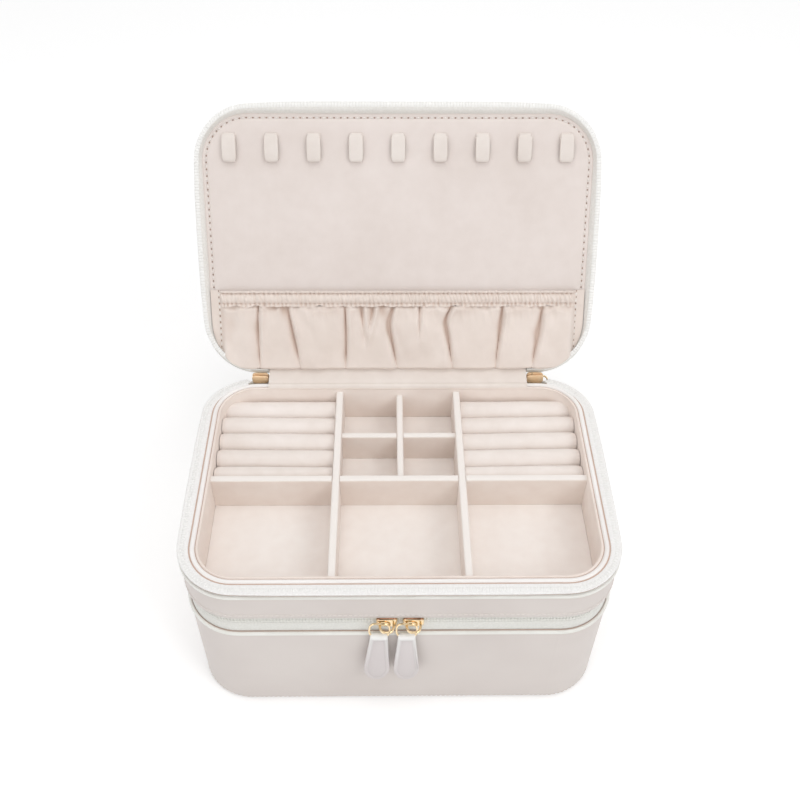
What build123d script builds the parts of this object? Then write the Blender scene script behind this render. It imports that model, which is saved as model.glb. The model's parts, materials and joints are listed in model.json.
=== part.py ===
from build123d import *
import math
import os

# A two-tier zip-around jewellery case: a base with one deep compartment, a tray tier hinged on
# it, and a padded lid hinged on the tray. The frame has its origin at the middle of the base's
# underside, +Z up, +X to the right and +Y towards the hinges. All sizes are in millimetres.

# Case
case_width = 230.0
case_depth = 154.0
corner_radius = 30.0
base_wall_height = 71.6
lid_wall_height = 17.0
bottom_edge_radius = 3.5
lid_edge_radius = 6.0

# Layers of a wall, from outside to inside
skin_thickness = 1.2
base_board_thickness = 2.6
tray_board_thickness = 4.0
lid_board_thickness = 2.6
lining_thickness = 0.8
layer_gap = 0.1
piping_radius = 1.1
piping_inset = 0.15
inner_lip_height = 7.4
lining_edge_radius = 1.2
beyond = 1000.0

# Middle zip, between the base and the tray
zip_tape_inset = 1.5
zip_tape_thickness = 0.8
zip_coil_thickness = 1.4
zip_coil_height = 2.2
zip_seam_gap = 1.2
lower_tape_height = 12.4
upper_tape_height = 5.9

# Tray
frame_thickness = 4.6
lip_edge_radius = 1.6
compartment_depth = 22.3
tray_underside_thickness = 0.5
tray_floor_thickness = 1.3
tray_lining_thickness = 0.5
lip_above_dividers = 3.3
lip_above_wall = 6.2
board_above_wall = 2.1
divider_thickness = 4.2
divider_edge_radius = 1.2
column_divider_x = 35.3
cross_divider_y = -0.6
small_divider_thickness = 3.8
small_divider_drop = 3.0
small_divider_x = 0.9
small_cross_y = 34.5
seat_gap = 0.05
slot_gap = 0.1

# Ring rolls
roll_count = 5
roll_drop = 3.4
roll_slit = 0.3
roll_back_gap = 1.5
roll_end_gap = 0.35

# Top zip, between the tray and the lid
lid_seam_above_lip = 0.5
seam_half_gap = 0.3
top_coil_width = 2.7
top_coil_height = 1.1
top_tape_thickness = 2.0
tray_tape_root_inset = 2.6
tray_tape_flare = 1.6
lid_tape_root_inset = 0.9
lid_tape_side_flare = 2.0
lid_tape_front_flare = 4.1
rear_tape_inset = 0.2
tape_overlap = 0.9

# Lid
panel_inset = 3.0
panel_recess = 3.7
panel_thickness = 1.6
lid_piping_above_seam = 5.2
loop_count = 9
loop_end_inset = 19.2
loop_width = 8.3
loop_length = 16.4
loop_height = 3.4
loop_wall = 1.0
loop_front_inset = 12.6
pocket_side_inset = 7.6
pocket_hem = 3.9
pocket_wall = 1.0
pocket_depth = 6.1
pocket_bottom_depth = 3.3
pocket_bottom_run = 7.4
pocket_belly_start = 18.5
pocket_belly_end = 27.7
pocket_mouth_depth = 5.0
pocket_mouth_gap = 1.5
pocket_bottom_inset = 3.5
pocket_lip_gap = 0.5
pocket_height = 37.0
elastic_width = 11.4
elastic_depth = 4.6
elastic_gap = 0.3
pocket_panel_gap = 0.05

# Hinges
hinge_end_inset = 36.3
strip_thickness = 0.6
strip_end_gap = 0.3
fold_gap = 0.15
hinge_axis_outside = 0.4
strip_behind_axis = 0.2
lid_axis_above_seam = 1.7
tray_axis_above_seam = 1.2
lid_opening = 117.0

# Zip sliders
slider_length = 11.0
slider_height = 8.0
slider_taper = 1.2
slider_corner = 2.2
slider_plate_thickness = 2.2
slider_inner_thickness = 0.9
slider_proud = 1.0
slider_running_gap = 0.4
slider_web_height = 0.6
slider_web_length = 3.0
slider_spacing = 14.0
crown_half_length = 4.4
crown_reach = 5.9
crown_corner = 2.4
crown_wall = 1.3
crown_height = 1.4
crown_drop = 0.4
top_slider_length = 10.0
top_slider_height = 7.4
top_slider_plate_thickness = 1.2
top_slider_grip = 1.6
top_slider_drop = 0.5
top_crown_drop = 2.9

# Pulls: a wire ring through the slider's crown and a leather tab on the ring
ring_wire_radius = 0.6
ring_stand_off = 0.9
ring_seat_gap = 0.2
ring_eye_leg = 1.8
ring_left_reach = 8.9
ring_drop = 11.0
ring_bend_radius = 1.2
pull_rest_tilt = 5.0
left_pull_lean = 3.0
tab_top_width = 9.0
tab_width = 14.0
tab_taper_length = 28.0
tab_length = 38.6
short_tab_width = 11.6
short_tab_taper_length = 6.6
short_tab_length = 12.4
tab_thickness = 2.4
tab_fold_radius = 1.8
tab_edge_radius = 0.7
tab_bore_gap = 0.15

# Insets of each layer from the outer face
board_inset = skin_thickness + layer_gap
base_board_inner = board_inset + base_board_thickness
base_lining_inset = base_board_inner + layer_gap
base_lining_inner = base_lining_inset + lining_thickness
tray_board_inner = board_inset + tray_board_thickness
frame_inset = tray_board_inner + layer_gap
frame_inner = frame_inset + frame_thickness
lid_board_inner = board_inset + lid_board_thickness
foam_inset = lid_board_inner + layer_gap
zip_tape_inner = zip_tape_inset + zip_tape_thickness
zip_coil_inner = zip_tape_inner + zip_coil_thickness

# Heights
base_bottom_top = skin_thickness + layer_gap + base_board_thickness
inner_lip_top = base_wall_height + inner_lip_height
middle_seam = base_wall_height + lower_tape_height
tray_wall_bottom = middle_seam + upper_tape_height
underside_bottom = middle_seam + seam_half_gap
floor_bottom = underside_bottom + tray_underside_thickness + seat_gap
floor_top = floor_bottom + tray_floor_thickness
tray_floor_level = floor_top + seat_gap + tray_lining_thickness
divider_top = tray_floor_level + compartment_depth
lip_top = divider_top + lip_above_dividers
tray_wall_top = lip_top - lip_above_wall
tray_board_top = tray_wall_top + board_above_wall
lid_seam = lip_top + lid_seam_above_lip
panel_face = lid_seam + panel_recess
panel_back = panel_face + panel_thickness
lid_piping_z = lid_seam + lid_piping_above_seam
lid_wall_bottom = lid_piping_z + piping_radius
lid_top = lid_wall_bottom + lid_wall_height

# Half sizes of the case, of the tray's inside, of the pocket and of the hinge strips
half_width = case_width / 2
half_depth = case_depth / 2
pocket_half_width = half_width - pocket_side_inset
hinge_strip_half = half_width - hinge_end_inset
tray_half_width = half_width - frame_inner
tray_half_depth = half_depth - frame_inner

# Hinge axes, as (y, z)
tray_axis = (half_depth + hinge_axis_outside, middle_seam + tray_axis_above_seam)
lid_axis = (half_depth + hinge_axis_outside, lid_seam + lid_axis_above_seam)


def plan(side, front, back, z):
    """The case's rounded outline at height z, drawn in by its own amount at each side."""
    width = case_width - 2 * side
    depth = case_depth - front - back
    face = RectangleRounded(width, depth, corner_radius - side)
    return Pos(0, (front - back) / 2, z) * face


def block(inset, bottom, top):
    """A solid of the case's outline, drawn in by inset."""
    return extrude(plan(inset, inset, inset, bottom), top - bottom)


def wall(outer, inner, bottom, top):
    """A closed wall between two insets."""
    return block(outer, bottom, top) - block(inner, bottom - 1, top + 1)


def rounded_block(inset, bottom, top, edge, radius):
    """A block with its lowest or highest outer edge rounded."""
    shape = block(inset, bottom, top)
    edges = shape.edges().group_by(Axis.Z)[edge]
    return fillet(edges, radius)


def tub(inset, thickness, bottom, top, radius):
    """An open tub: a floor and walls of one thickness, with a rounded bottom edge."""
    outer = rounded_block(inset, bottom, top, 0, radius)
    inner = rounded_block(inset + thickness, bottom + thickness, top + 1, 0, radius - thickness)
    return outer - inner


def rear_window(half):
    """The space at the back that a hinge strip takes out of a zip tape."""
    return Pos(0, half_depth, 0) * Box(2 * half, 2 * corner_radius, beyond)


def sloped_band(root, tip, thickness):
    """A flared zip tape: a ring between two outlines, each given as (side, front, back, z)."""
    outer = loft([plan(*root), plan(*tip)], ruled=True)
    grow = (thickness, thickness, thickness, 0)
    inner_root = [a + b for a, b in zip(root, grow)]
    inner_tip = [a + b for a, b in zip(tip, grow)]
    inner = loft([plan(*inner_root), plan(*inner_tip)], ruled=True)
    return outer - inner


def piping(z):
    """A round cord sewn into the seam all the way round the case."""
    path = plan(piping_inset, piping_inset, piping_inset, z).face().outer_wire()
    section = Plane(origin=path @ 0, z_dir=path % 0) * Circle(piping_radius)
    return sweep(section, path=path)


def middle_tape(bottom, top):
    ring = wall(zip_tape_inset, zip_tape_inner, bottom, top)
    return ring - rear_window(hinge_strip_half + strip_end_gap)


def middle_coil(bottom, top):
    ring = wall(zip_tape_inner, zip_coil_inner, bottom, top)
    return ring - rear_window(hinge_strip_half + strip_end_gap)


def hinge_strip(bottom, top):
    """An upright strip of the back hinge, in line with the zip tape."""
    depth = zip_tape_thickness
    y = half_depth - zip_tape_inset - depth / 2
    return Pos(0, y, (bottom + top) / 2) * Box(2 * hinge_strip_half, depth, top - bottom)


def opened(shape):
    """Turns a lid piece from its closed place to its place on the open lid."""
    to_axis = Pos(0, -lid_axis[0], -lid_axis[1])
    from_axis = Pos(0, lid_axis[0], lid_axis[1])
    return from_axis * Rot(-lid_opening, 0, 0) * to_axis * shape


# ---------------------------------------------------------------- base

def base_pieces():
    board_bottom = skin_thickness + layer_gap
    board = tub(board_inset, base_board_thickness, board_bottom, base_wall_height, bottom_edge_radius)
    upstand_outer = zip_tape_inner + layer_gap
    upstand = wall(upstand_outer, base_board_inner, base_wall_height - 1, inner_lip_top)
    lining_bottom = base_bottom_top + layer_gap
    return {
        "base_cover": tub(0, skin_thickness, 0, base_wall_height, bottom_edge_radius),
        "base_board": board + upstand,
        "base_lining": tub(
            base_lining_inset, lining_thickness, lining_bottom, inner_lip_top, lining_edge_radius
        ),
        "base_piping": piping(base_wall_height + piping_radius + seat_gap),
        "base_zip_tape": middle_tape(base_wall_height + seat_gap, middle_seam - zip_seam_gap / 2),
        "base_zip_coil": middle_coil(
            middle_seam - zip_seam_gap / 2 - zip_coil_height, middle_seam - zip_seam_gap / 2
        ),
        "hinge_strip_lower": hinge_strip(base_wall_height + seat_gap, tray_axis[1] - strip_end_gap),
    }


# ---------------------------------------------------------------- tray

def tray_frame():
    """The inner wall of the tray, which ends in a soft rounded lip above the dividers."""
    ring = wall(frame_inset, frame_inner, floor_top + seat_gap, lip_top)
    return fillet(ring.edges().group_by(Axis.Z)[-1], lip_edge_radius)


def divider(size_x, size_y, x, y, top):
    """A covered card that stands on the tray's floor, with its long top edges rounded."""
    height = top - tray_floor_level - seat_gap
    card = Box(size_x, size_y, height)
    along = Axis.Y if size_y > size_x else Axis.X
    edges = card.edges().filter_by(along).group_by(Axis.Z)[-1]
    card = fillet(edges, divider_edge_radius)
    return Pos(x, y, tray_floor_level + seat_gap + height / 2) * card


def halving_slot(size_x, size_y, x, y, bottom, top):
    return Pos(x, y, (bottom + top) / 2) * Box(size_x, size_y, top - bottom)


def tray_dividers():
    length = 2 * (tray_half_depth - seat_gap)
    width = 2 * (tray_half_width - seat_gap)
    slot = divider_thickness + 2 * slot_gap
    middle = tray_floor_level + compartment_depth / 2
    cross = divider(width, divider_thickness, 0, cross_divider_y, divider_top)
    pieces = {}
    for name, x in (("left", -column_divider_x), ("right", column_divider_x)):
        column = divider(divider_thickness, length, x, 0, divider_top)
        cut = halving_slot(
            slot, slot, x, cross_divider_y, tray_floor_level - 1, middle + slot_gap / 2
        )
        pieces[f"column_divider_{name}"] = column - cut
        cross -= halving_slot(
            slot, slot, x, cross_divider_y, middle - slot_gap / 2, divider_top + 1
        )
    pieces["cross_divider"] = cross

    small_top = divider_top - small_divider_drop
    front = cross_divider_y + divider_thickness / 2 + seat_gap
    back = tray_half_depth - seat_gap
    small_width = 2 * (column_divider_x - divider_thickness / 2 - seat_gap)
    small_slot = small_divider_thickness + 2 * slot_gap
    small_middle = (tray_floor_level + small_top) / 2
    upright = divider(
        small_divider_thickness, back - front, small_divider_x, (front + back) / 2, small_top
    )
    upright -= halving_slot(
        small_slot, small_slot, small_divider_x, small_cross_y,
        tray_floor_level - 1, small_middle + slot_gap / 2,
    )
    level = divider(small_width, small_divider_thickness, 0, small_cross_y, small_top)
    level -= halving_slot(
        small_slot, small_slot, small_divider_x, small_cross_y,
        small_middle - slot_gap / 2, small_top + 1,
    )
    pieces["centre_divider"] = upright
    pieces["centre_cross_divider"] = level
    return pieces


def ring_rolls():
    """Padded rolls side by side, with a slit between each two that grips a ring."""
    front = cross_divider_y + divider_thickness / 2
    pitch = (tray_half_depth - roll_back_gap - front) / roll_count
    radius = (pitch - roll_slit) / 2
    inner_end = column_divider_x + divider_thickness / 2 + roll_end_gap
    length = half_width - inner_end
    bottom = tray_floor_level + seat_gap
    centre = divider_top - roll_drop - radius
    inside = block(frame_inner + roll_end_gap, bottom, divider_top)
    pieces = {}
    for index in range(roll_count):
        y = front + pitch * (index + 0.5)
        rod = Cylinder(radius, length, rotation=(0, 90, 0))
        foot = Pos(0, 0, (bottom - centre) / 2) * Box(length, 2 * radius, centre - bottom)
        roll = Pos(inner_end + length / 2, y, centre) * (rod + foot)
        right = roll & inside
        pieces[f"ring_roll_right_{index + 1}"] = right
        pieces[f"ring_roll_left_{index + 1}"] = mirror(right, about=Plane.YZ)
    return pieces


def tray_top_zip():
    """The tray's half of the top zip, which flares out over the wall when the lid is open."""
    tip = -tray_tape_flare
    coil_top = lid_seam - seam_half_gap
    coil_bottom = coil_top - top_coil_height
    outline = (tip, tip, rear_tape_inset)
    inner = [inset + top_coil_width for inset in outline]
    coil = extrude(plan(*outline, coil_bottom), top_coil_height)
    coil -= extrude(plan(*inner, coil_bottom - 1), top_coil_height + 2)
    root = (tray_tape_root_inset,) * 3 + (tray_board_top + seat_gap,)
    end = [inset + tape_overlap for inset in outline] + [coil_bottom - seat_gap]
    tape = sloped_band(root, end, top_tape_thickness)
    window = rear_window(top_slider_end())
    return {"tray_zip_tape": tape - window, "tray_zip_coil": coil - window}


def top_slider_end():
    return hinge_strip_half + strip_end_gap + top_slider_length + strip_end_gap


def back_strip(bottom, top):
    """An upright strip of the lid's hinge, close in front of its axis, in its closed place."""
    y = lid_axis[0] - strip_behind_axis - strip_thickness / 2
    return Pos(0, y, (bottom + top) / 2) * Box(2 * hinge_strip_half, strip_thickness, top - bottom)


def lid_hinge_strip():
    """The strip over the back of the lip, which turns up along the wall to the lid's axis."""
    front = half_depth - frame_inner
    back = lid_axis[0] - strip_behind_axis
    bottom = lip_top + seat_gap
    cover = Pos(0, (front + back) / 2, bottom + strip_thickness / 2) * Box(
        2 * hinge_strip_half, back - front, strip_thickness
    )
    return cover + back_strip(tray_wall_top + 2 * (piping_radius + seat_gap), lid_axis[1] - fold_gap)


def tray_pieces():
    upper_edge = middle_seam + zip_seam_gap / 2
    tray_board_bottom = tray_wall_bottom + seat_gap
    inside = frame_inner + layer_gap
    pieces = {
        "tray_cover": wall(0, skin_thickness, tray_wall_bottom, tray_wall_top),
        "tray_board": wall(board_inset, tray_board_inner, tray_board_bottom, tray_board_top),
        "tray_piping": piping(tray_wall_top + piping_radius + seat_gap),
        "tray_frame": tray_frame(),
        "tray_floor": block(frame_inset, floor_bottom, floor_top),
        "tray_underside": block(frame_inset, underside_bottom, floor_bottom - seat_gap),
        "tray_floor_lining": block(inside, floor_top + seat_gap, tray_floor_level),
        "middle_zip_tape": middle_tape(upper_edge, tray_wall_bottom),
        "middle_zip_coil": middle_coil(upper_edge, upper_edge + zip_coil_height),
        "hinge_strip_upper": hinge_strip(tray_axis[1] + strip_end_gap, tray_wall_bottom),
        "lid_hinge_strip": lid_hinge_strip(),
    }
    pieces.update(tray_dividers())
    pieces.update(ring_rolls())
    pieces.update(tray_top_zip())
    return pieces


# ---------------------------------------------------------------- lid

def lid_shell():
    """The lid's outer cover: a shallow tub turned upside down, with a soft top edge."""
    outer = rounded_block(0, lid_wall_bottom, lid_top, -1, lid_edge_radius)
    inner = rounded_block(
        skin_thickness, lid_wall_bottom - 1, lid_top - skin_thickness, -1,
        lid_edge_radius - skin_thickness,
    )
    return outer - inner


def lid_board():
    top = lid_top - skin_thickness - layer_gap
    bottom = lid_wall_bottom + seat_gap
    outer = rounded_block(board_inset, bottom, top, -1, lid_edge_radius - board_inset)
    return outer - block(lid_board_inner, bottom - 1, top - lid_board_thickness)


def lid_zip():
    """The lid's half of the top zip. Its front flares more than its sides."""
    coil_bottom = lid_seam + seam_half_gap
    outline = (-lid_tape_side_flare, -lid_tape_front_flare, rear_tape_inset)
    inner = [inset + top_coil_width for inset in outline]
    coil = extrude(plan(*outline, coil_bottom), top_coil_height)
    coil -= extrude(plan(*inner, coil_bottom - 1), top_coil_height + 2)
    root_z = lid_piping_z - piping_radius - seat_gap
    root = (lid_tape_root_inset,) * 3 + (root_z,)
    end = [inset + tape_overlap for inset in outline] + [coil_bottom + top_coil_height + seat_gap]
    tape = sloped_band(end, root, top_tape_thickness)
    window = rear_window(top_slider_end())
    return {"lid_zip_tape": tape - window, "lid_zip_coil": coil - window}


def necklace_loops():
    """Flat straps folded into loops and sewn to the lid's lining in a row."""
    length = loop_length
    radius = loop_height / 2
    slot_radius = radius - loop_wall
    outer = SlotOverall(length, loop_height)
    slot = SlotOverall(length - 2 * loop_wall, 2 * slot_radius)
    strap = extrude(Plane.YZ * (outer - slot), loop_width)
    span = case_width - 2 * loop_end_inset
    pitch = span / (loop_count - 1)
    y = -half_depth + loop_front_inset + length / 2
    z = panel_face - pocket_panel_gap - radius
    loops = [
        Pos(index * pitch - span / 2 - loop_width / 2, y, z) * strap
        for index in range(loop_count)
    ]
    return Compound(children=loops)


def pocket_profile(offset):
    """Side outline of the gathered pocket under the lid, from the panel out to its belly."""
    back = half_depth - pocket_bottom_inset
    front = back - pocket_height
    face = panel_face - pocket_panel_gap
    points = [
        (back - offset, face),
        (back - pocket_bottom_run, face - pocket_bottom_depth + offset),
        (back - pocket_belly_start, face - pocket_depth + offset),
        (back - pocket_belly_end, face - pocket_depth + offset),
        (front + offset, face - pocket_mouth_depth + offset),
        (front + offset, face),
    ]
    return Plane.YZ * make_face(Polyline(*points, close=True))


def pocket_body(offset):
    """The pocket's bulk, kept off the tray's lip and inside the lid's zip when the lid is shut."""
    half = pocket_half_width - pocket_hem - offset
    bulk = extrude(pocket_profile(offset), half, both=True)
    low = lip_top - pocket_depth
    gap = pocket_lip_gap + offset
    lip_space = block(0, low, lip_top + gap) - block(frame_inner + gap, low - 1, lid_seam + 1)
    return (bulk - lip_space) & block(pocket_bottom_inset + offset, low, panel_back)


def pocket_cloth():
    """The pocket's cloth: a shallow belly, closed at both ends, with a flat hem at each side."""
    inner_half = pocket_half_width - pocket_hem
    mouth = half_depth - pocket_bottom_inset - pocket_height
    face = panel_face - pocket_panel_gap
    throat_depth = pocket_mouth_depth - pocket_wall
    throat = Pos(0, mouth, face - throat_depth / 2) * Box(
        2 * (inner_half - pocket_wall), 4 * pocket_wall, throat_depth
    )
    hem = Pos(0, mouth + pocket_height / 2, face - pocket_wall / 2) * Box(
        2 * pocket_half_width, pocket_height, pocket_wall
    )
    hem -= Pos(0, mouth, face) * Box(2 * inner_half, beyond, beyond)
    hem &= block(pocket_bottom_inset, lid_seam, panel_back)
    return pocket_body(0) - pocket_body(pocket_wall) - throat + hem


def pocket_elastic():
    """The gathered casing along the pocket's mouth, which stands off the panel in between."""
    inner_half = pocket_half_width - pocket_hem
    mouth = half_depth - pocket_bottom_inset - pocket_height - elastic_gap
    y = mouth - elastic_width / 2
    face = panel_face - pocket_panel_gap
    bar = Box(2 * pocket_half_width, elastic_width, elastic_depth)
    space_depth = elastic_depth - pocket_mouth_gap
    space = Box(2 * (inner_half - pocket_wall), beyond, space_depth)
    bar -= Pos(0, 0, (elastic_depth - space_depth) / 2) * space
    for side in (-1, 1):
        step = Box(2 * pocket_hem, beyond, elastic_depth)
        bar -= Pos(side * (inner_half + pocket_hem), 0, -pocket_wall) * step
    return Pos(0, y, face - elastic_depth / 2) * bar


def lid_pieces():
    closed = {
        "lid_cover": lid_shell(),
        "lid_board": lid_board(),
        "lid_foam": block(
            foam_inset, panel_back + seat_gap,
            lid_top - skin_thickness - 2 * layer_gap - lid_board_thickness,
        ),
        "lid_lining_panel": block(panel_inset, panel_face, panel_back),
        "lid_piping": piping(lid_piping_z - seat_gap),
        "necklace_loops": necklace_loops(),
        "pocket_cloth": pocket_cloth(),
        "pocket_elastic": pocket_elastic(),
        "lid_hinge_leaf": back_strip(
            lid_axis[1] + fold_gap, lid_piping_z - piping_radius - 2 * seat_gap
        ),
    }
    closed.update(lid_zip())
    return {name: opened(shape) for name, shape in closed.items()}


# ---------------------------------------------------------------- zip sliders and pulls

def slider_plate(length, height, outer, inner):
    """One plate of a slider, tallest at its head, between two distances outside the wall."""
    head = height / 2
    tail = (height - slider_taper) / 2
    points = [(-length / 2, -tail), (length / 2, -head), (length / 2, head), (-length / 2, tail)]
    face = make_face(Polyline(*points, close=True))
    face = fillet(face.vertices(), slider_corner)
    plate = extrude(Plane.XZ * face, outer - inner)
    return Pos(0, -half_depth - inner, 0) * plate


def slider_crown():
    """The bridge on a slider: a boxy bow in the XY plane, whose eye runs through along Z."""
    outer = RectangleRounded(2 * crown_half_length, 2 * crown_reach, crown_corner)
    inner = RectangleRounded(
        2 * (crown_half_length - crown_wall), 2 * (crown_reach - crown_wall),
        crown_corner - crown_wall,
    )
    front = Pos(0, -crown_reach / 2) * Rectangle(2 * crown_half_length, crown_reach)
    return extrude((outer - inner) & front, crown_height / 2, both=True)


def slider(length, height, plate_thickness, grip, crown_z):
    """A zip slider at x = 0 with its head towards +X and the seam at z = 0."""
    plate_inner = slider_proud - plate_thickness
    outer_plate = slider_plate(length, height, slider_proud, plate_inner)
    inner_plate = slider_plate(length, height, -grip, -grip - slider_inner_thickness)
    web_x = length / 2 - slider_web_length
    web = Pos(web_x, -half_depth - (plate_inner - grip) / 2, 0) * Box(
        slider_web_length, plate_inner + grip + slider_inner_thickness, slider_web_height
    )
    crown = Pos(0, -half_depth - slider_proud, crown_z) * slider_crown()
    return outer_plate + inner_plate + web + crown


def pull_ring():
    """The wire ring, with its upper bar on the pull's axis and its right leg in the eye."""
    points = [
        (ring_eye_leg, 0),
        (-ring_left_reach, 0),
        (-ring_left_reach, -ring_drop),
        (ring_eye_leg, -ring_drop),
    ]
    line = FilletPolyline(*points, radius=ring_bend_radius, close=True)
    path = Plane.XZ * Wire(line.edges())
    section = Plane(origin=path @ 0, z_dir=path % 0) * Circle(ring_wire_radius)
    return sweep(section, path=path)


def pull_tab(width, taper_length, length):
    """A leather tab folded over the ring's lower bar: narrow at the top, round at its end."""
    top = tab_top_width / 2
    sides = Polyline((-width / 2, -taper_length), (-top, 0), (top, 0), (width / 2, -taper_length))
    end = EllipticalCenterArc(
        (0, -taper_length), width / 2, length - taper_length, start_angle=180, arc_size=180
    )
    leaf = extrude(Plane.XZ * make_face(sides + end), tab_thickness / 2, both=True)
    rim = leaf.edges().filter_by(Axis.Y, reverse=True)
    rim = [edge for edge in rim if edge.center().Z < -tab_fold_radius]
    leaf = fillet(rim, tab_edge_radius)
    fold = Cylinder(tab_fold_radius, tab_top_width, rotation=(0, 90, 0))
    bore = Cylinder(ring_wire_radius + tab_bore_gap, 2 * width, rotation=(0, 90, 0))
    return Pos((ring_eye_leg - ring_left_reach) / 2, 0, -ring_drop) * (leaf + fold - bore)


def hung(shape, x, crown_z, lean):
    """Hangs a pull piece on its crown in front of the case, tilted out and leaning sideways."""
    y = -half_depth - slider_proud - ring_stand_off
    z = crown_z + crown_height / 2 + ring_wire_radius + ring_seat_gap
    return Pos(x, y, z) * Rot(-pull_rest_tilt, 0, 0) * Rot(0, lean, 0) * shape


def front_slider_pieces():
    grip = zip_coil_inner + slider_running_gap
    body = slider(slider_length, slider_height, slider_plate_thickness, grip, -crown_drop)
    ring = pull_ring()
    tab = pull_tab(tab_width, tab_taper_length, tab_length)
    crown_z = middle_seam - crown_drop
    pieces = {}
    for name, side, lean in (("left", -1, left_pull_lean), ("right", 1, 0)):
        x = side * slider_spacing / 2
        shape = body if side < 0 else mirror(body, about=Plane.YZ)
        pieces[f"slider_{name}"] = Pos(x, 0, middle_seam) * shape
        pieces[f"pull_ring_{name}"] = hung(ring, x, crown_z, lean)
        pieces[f"pull_tab_{name}"] = hung(tab, x, crown_z, lean)
    return pieces


def top_slider_pieces():
    """The top zip's sliders, parked at the ends of the zip at the back, with short pulls."""
    body = slider(
        top_slider_length, top_slider_height, top_slider_plate_thickness, top_slider_grip,
        -top_crown_drop,
    )
    ring = pull_ring()
    tab = pull_tab(short_tab_width, short_tab_taper_length, short_tab_length)
    seam = lid_seam - top_slider_drop
    crown_z = seam - top_crown_drop
    turn = Rot(0, 0, 180)
    pieces = {}
    for name, side in (("left", -1), ("right", 1)):
        x = side * (hinge_strip_half + strip_end_gap + top_slider_length / 2)
        shape = body if side < 0 else mirror(body, about=Plane.YZ)
        pieces[f"top_slider_{name}"] = Pos(x, 0, seam) * turn * shape
        pieces[f"top_pull_ring_{name}"] = turn * hung(ring, -x, crown_z, 0)
        pieces[f"top_pull_tab_{name}"] = turn * hung(tab, -x, crown_z, 0)
    return pieces


def main():
    os.makedirs("parts", exist_ok=True)
    pieces = {}
    pieces.update(base_pieces())
    pieces.update(tray_pieces())
    pieces.update(lid_pieces())
    pieces.update(front_slider_pieces())
    pieces.update(top_slider_pieces())
    for name, shape in pieces.items():
        export_step(shape, f"parts/{name}.step")
    print(len(pieces), "pieces")


main()
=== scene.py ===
import json
import math

import bmesh
import bpy
from mathutils import Matrix, Vector, noise


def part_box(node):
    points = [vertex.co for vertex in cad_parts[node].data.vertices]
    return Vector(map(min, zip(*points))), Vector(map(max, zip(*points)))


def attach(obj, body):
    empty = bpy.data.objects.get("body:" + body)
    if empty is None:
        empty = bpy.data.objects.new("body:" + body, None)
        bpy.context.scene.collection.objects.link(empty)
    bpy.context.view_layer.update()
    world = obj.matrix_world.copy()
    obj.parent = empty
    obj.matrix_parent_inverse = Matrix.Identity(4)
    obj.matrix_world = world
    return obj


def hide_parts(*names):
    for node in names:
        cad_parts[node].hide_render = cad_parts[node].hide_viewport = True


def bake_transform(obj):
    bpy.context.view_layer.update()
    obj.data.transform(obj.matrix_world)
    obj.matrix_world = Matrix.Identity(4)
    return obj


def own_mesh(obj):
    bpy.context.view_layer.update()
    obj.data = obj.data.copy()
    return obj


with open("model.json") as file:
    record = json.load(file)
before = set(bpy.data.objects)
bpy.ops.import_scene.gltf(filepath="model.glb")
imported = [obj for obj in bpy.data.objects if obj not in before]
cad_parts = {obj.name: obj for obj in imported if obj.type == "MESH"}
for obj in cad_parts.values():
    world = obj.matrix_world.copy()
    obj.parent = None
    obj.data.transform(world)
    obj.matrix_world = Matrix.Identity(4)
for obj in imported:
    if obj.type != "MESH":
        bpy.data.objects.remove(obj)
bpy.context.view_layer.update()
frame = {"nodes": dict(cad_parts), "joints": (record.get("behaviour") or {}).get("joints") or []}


# ---------------------------------------------------------------- leather covers
# The base and the tray are wrapped in a smooth artificial leather, glued over greyboard. It has
# a very fine pebble grain, a low satin sheen and faint unevenness where the board shows through.

def tint(red, green, blue):
    """A colour written from 0 to 255, as the linear values that a shader takes."""
    return [(part / 255) ** 2.2 for part in (red, green, blue)] + [1.0]


def effect(name, inputs, outputs):
    """Starts a shader node group with number inputs and the outputs that it names."""
    group = bpy.data.node_groups.new(name, "ShaderNodeTree")
    for label, value in inputs.items():
        socket = group.interface.new_socket(label, in_out="INPUT", socket_type="NodeSocketFloat")
        socket.default_value = value
    for label in outputs:
        group.interface.new_socket(label, in_out="OUTPUT", socket_type="NodeSocketFloat")
    return group, group.nodes.new("NodeGroupInput"), group.nodes.new("NodeGroupOutput")


def feed(tree, socket, value):
    """Links an output to a socket, or gives the socket a fixed value."""
    if isinstance(value, bpy.types.NodeSocket):
        tree.links.new(value, socket)
    else:
        socket.default_value = value


def add(tree, kind, group=None, **values):
    """Adds a shader node and feeds the inputs that are named, with _ for a space."""
    node = tree.nodes.new("ShaderNode" + kind)
    if group:
        node.node_tree = group
    for label, value in values.items():
        feed(tree, node.inputs[label.replace("_", " ")], value)
    return node


def maths(tree, operation, *values):
    """The output of a Math node, whose inputs are numbers or sockets."""
    node = add(tree, "Math")
    node.operation = operation
    for socket, value in zip(node.inputs, values):
        feed(tree, socket, value)
    return node.outputs[0]


def cloudy(tree, scale, detail, stretch=(1, 1, 1)):
    """Noise in the object's own space, at so many features to a metre."""
    turn = add(tree, "Mapping", Vector=add(tree, "TexCoord").outputs["Object"], Scale=stretch)
    clouds = add(tree, "TexNoise", Vector=turn.outputs[0], Scale=scale, Detail=detail)
    return clouds.outputs["Fac"]


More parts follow.
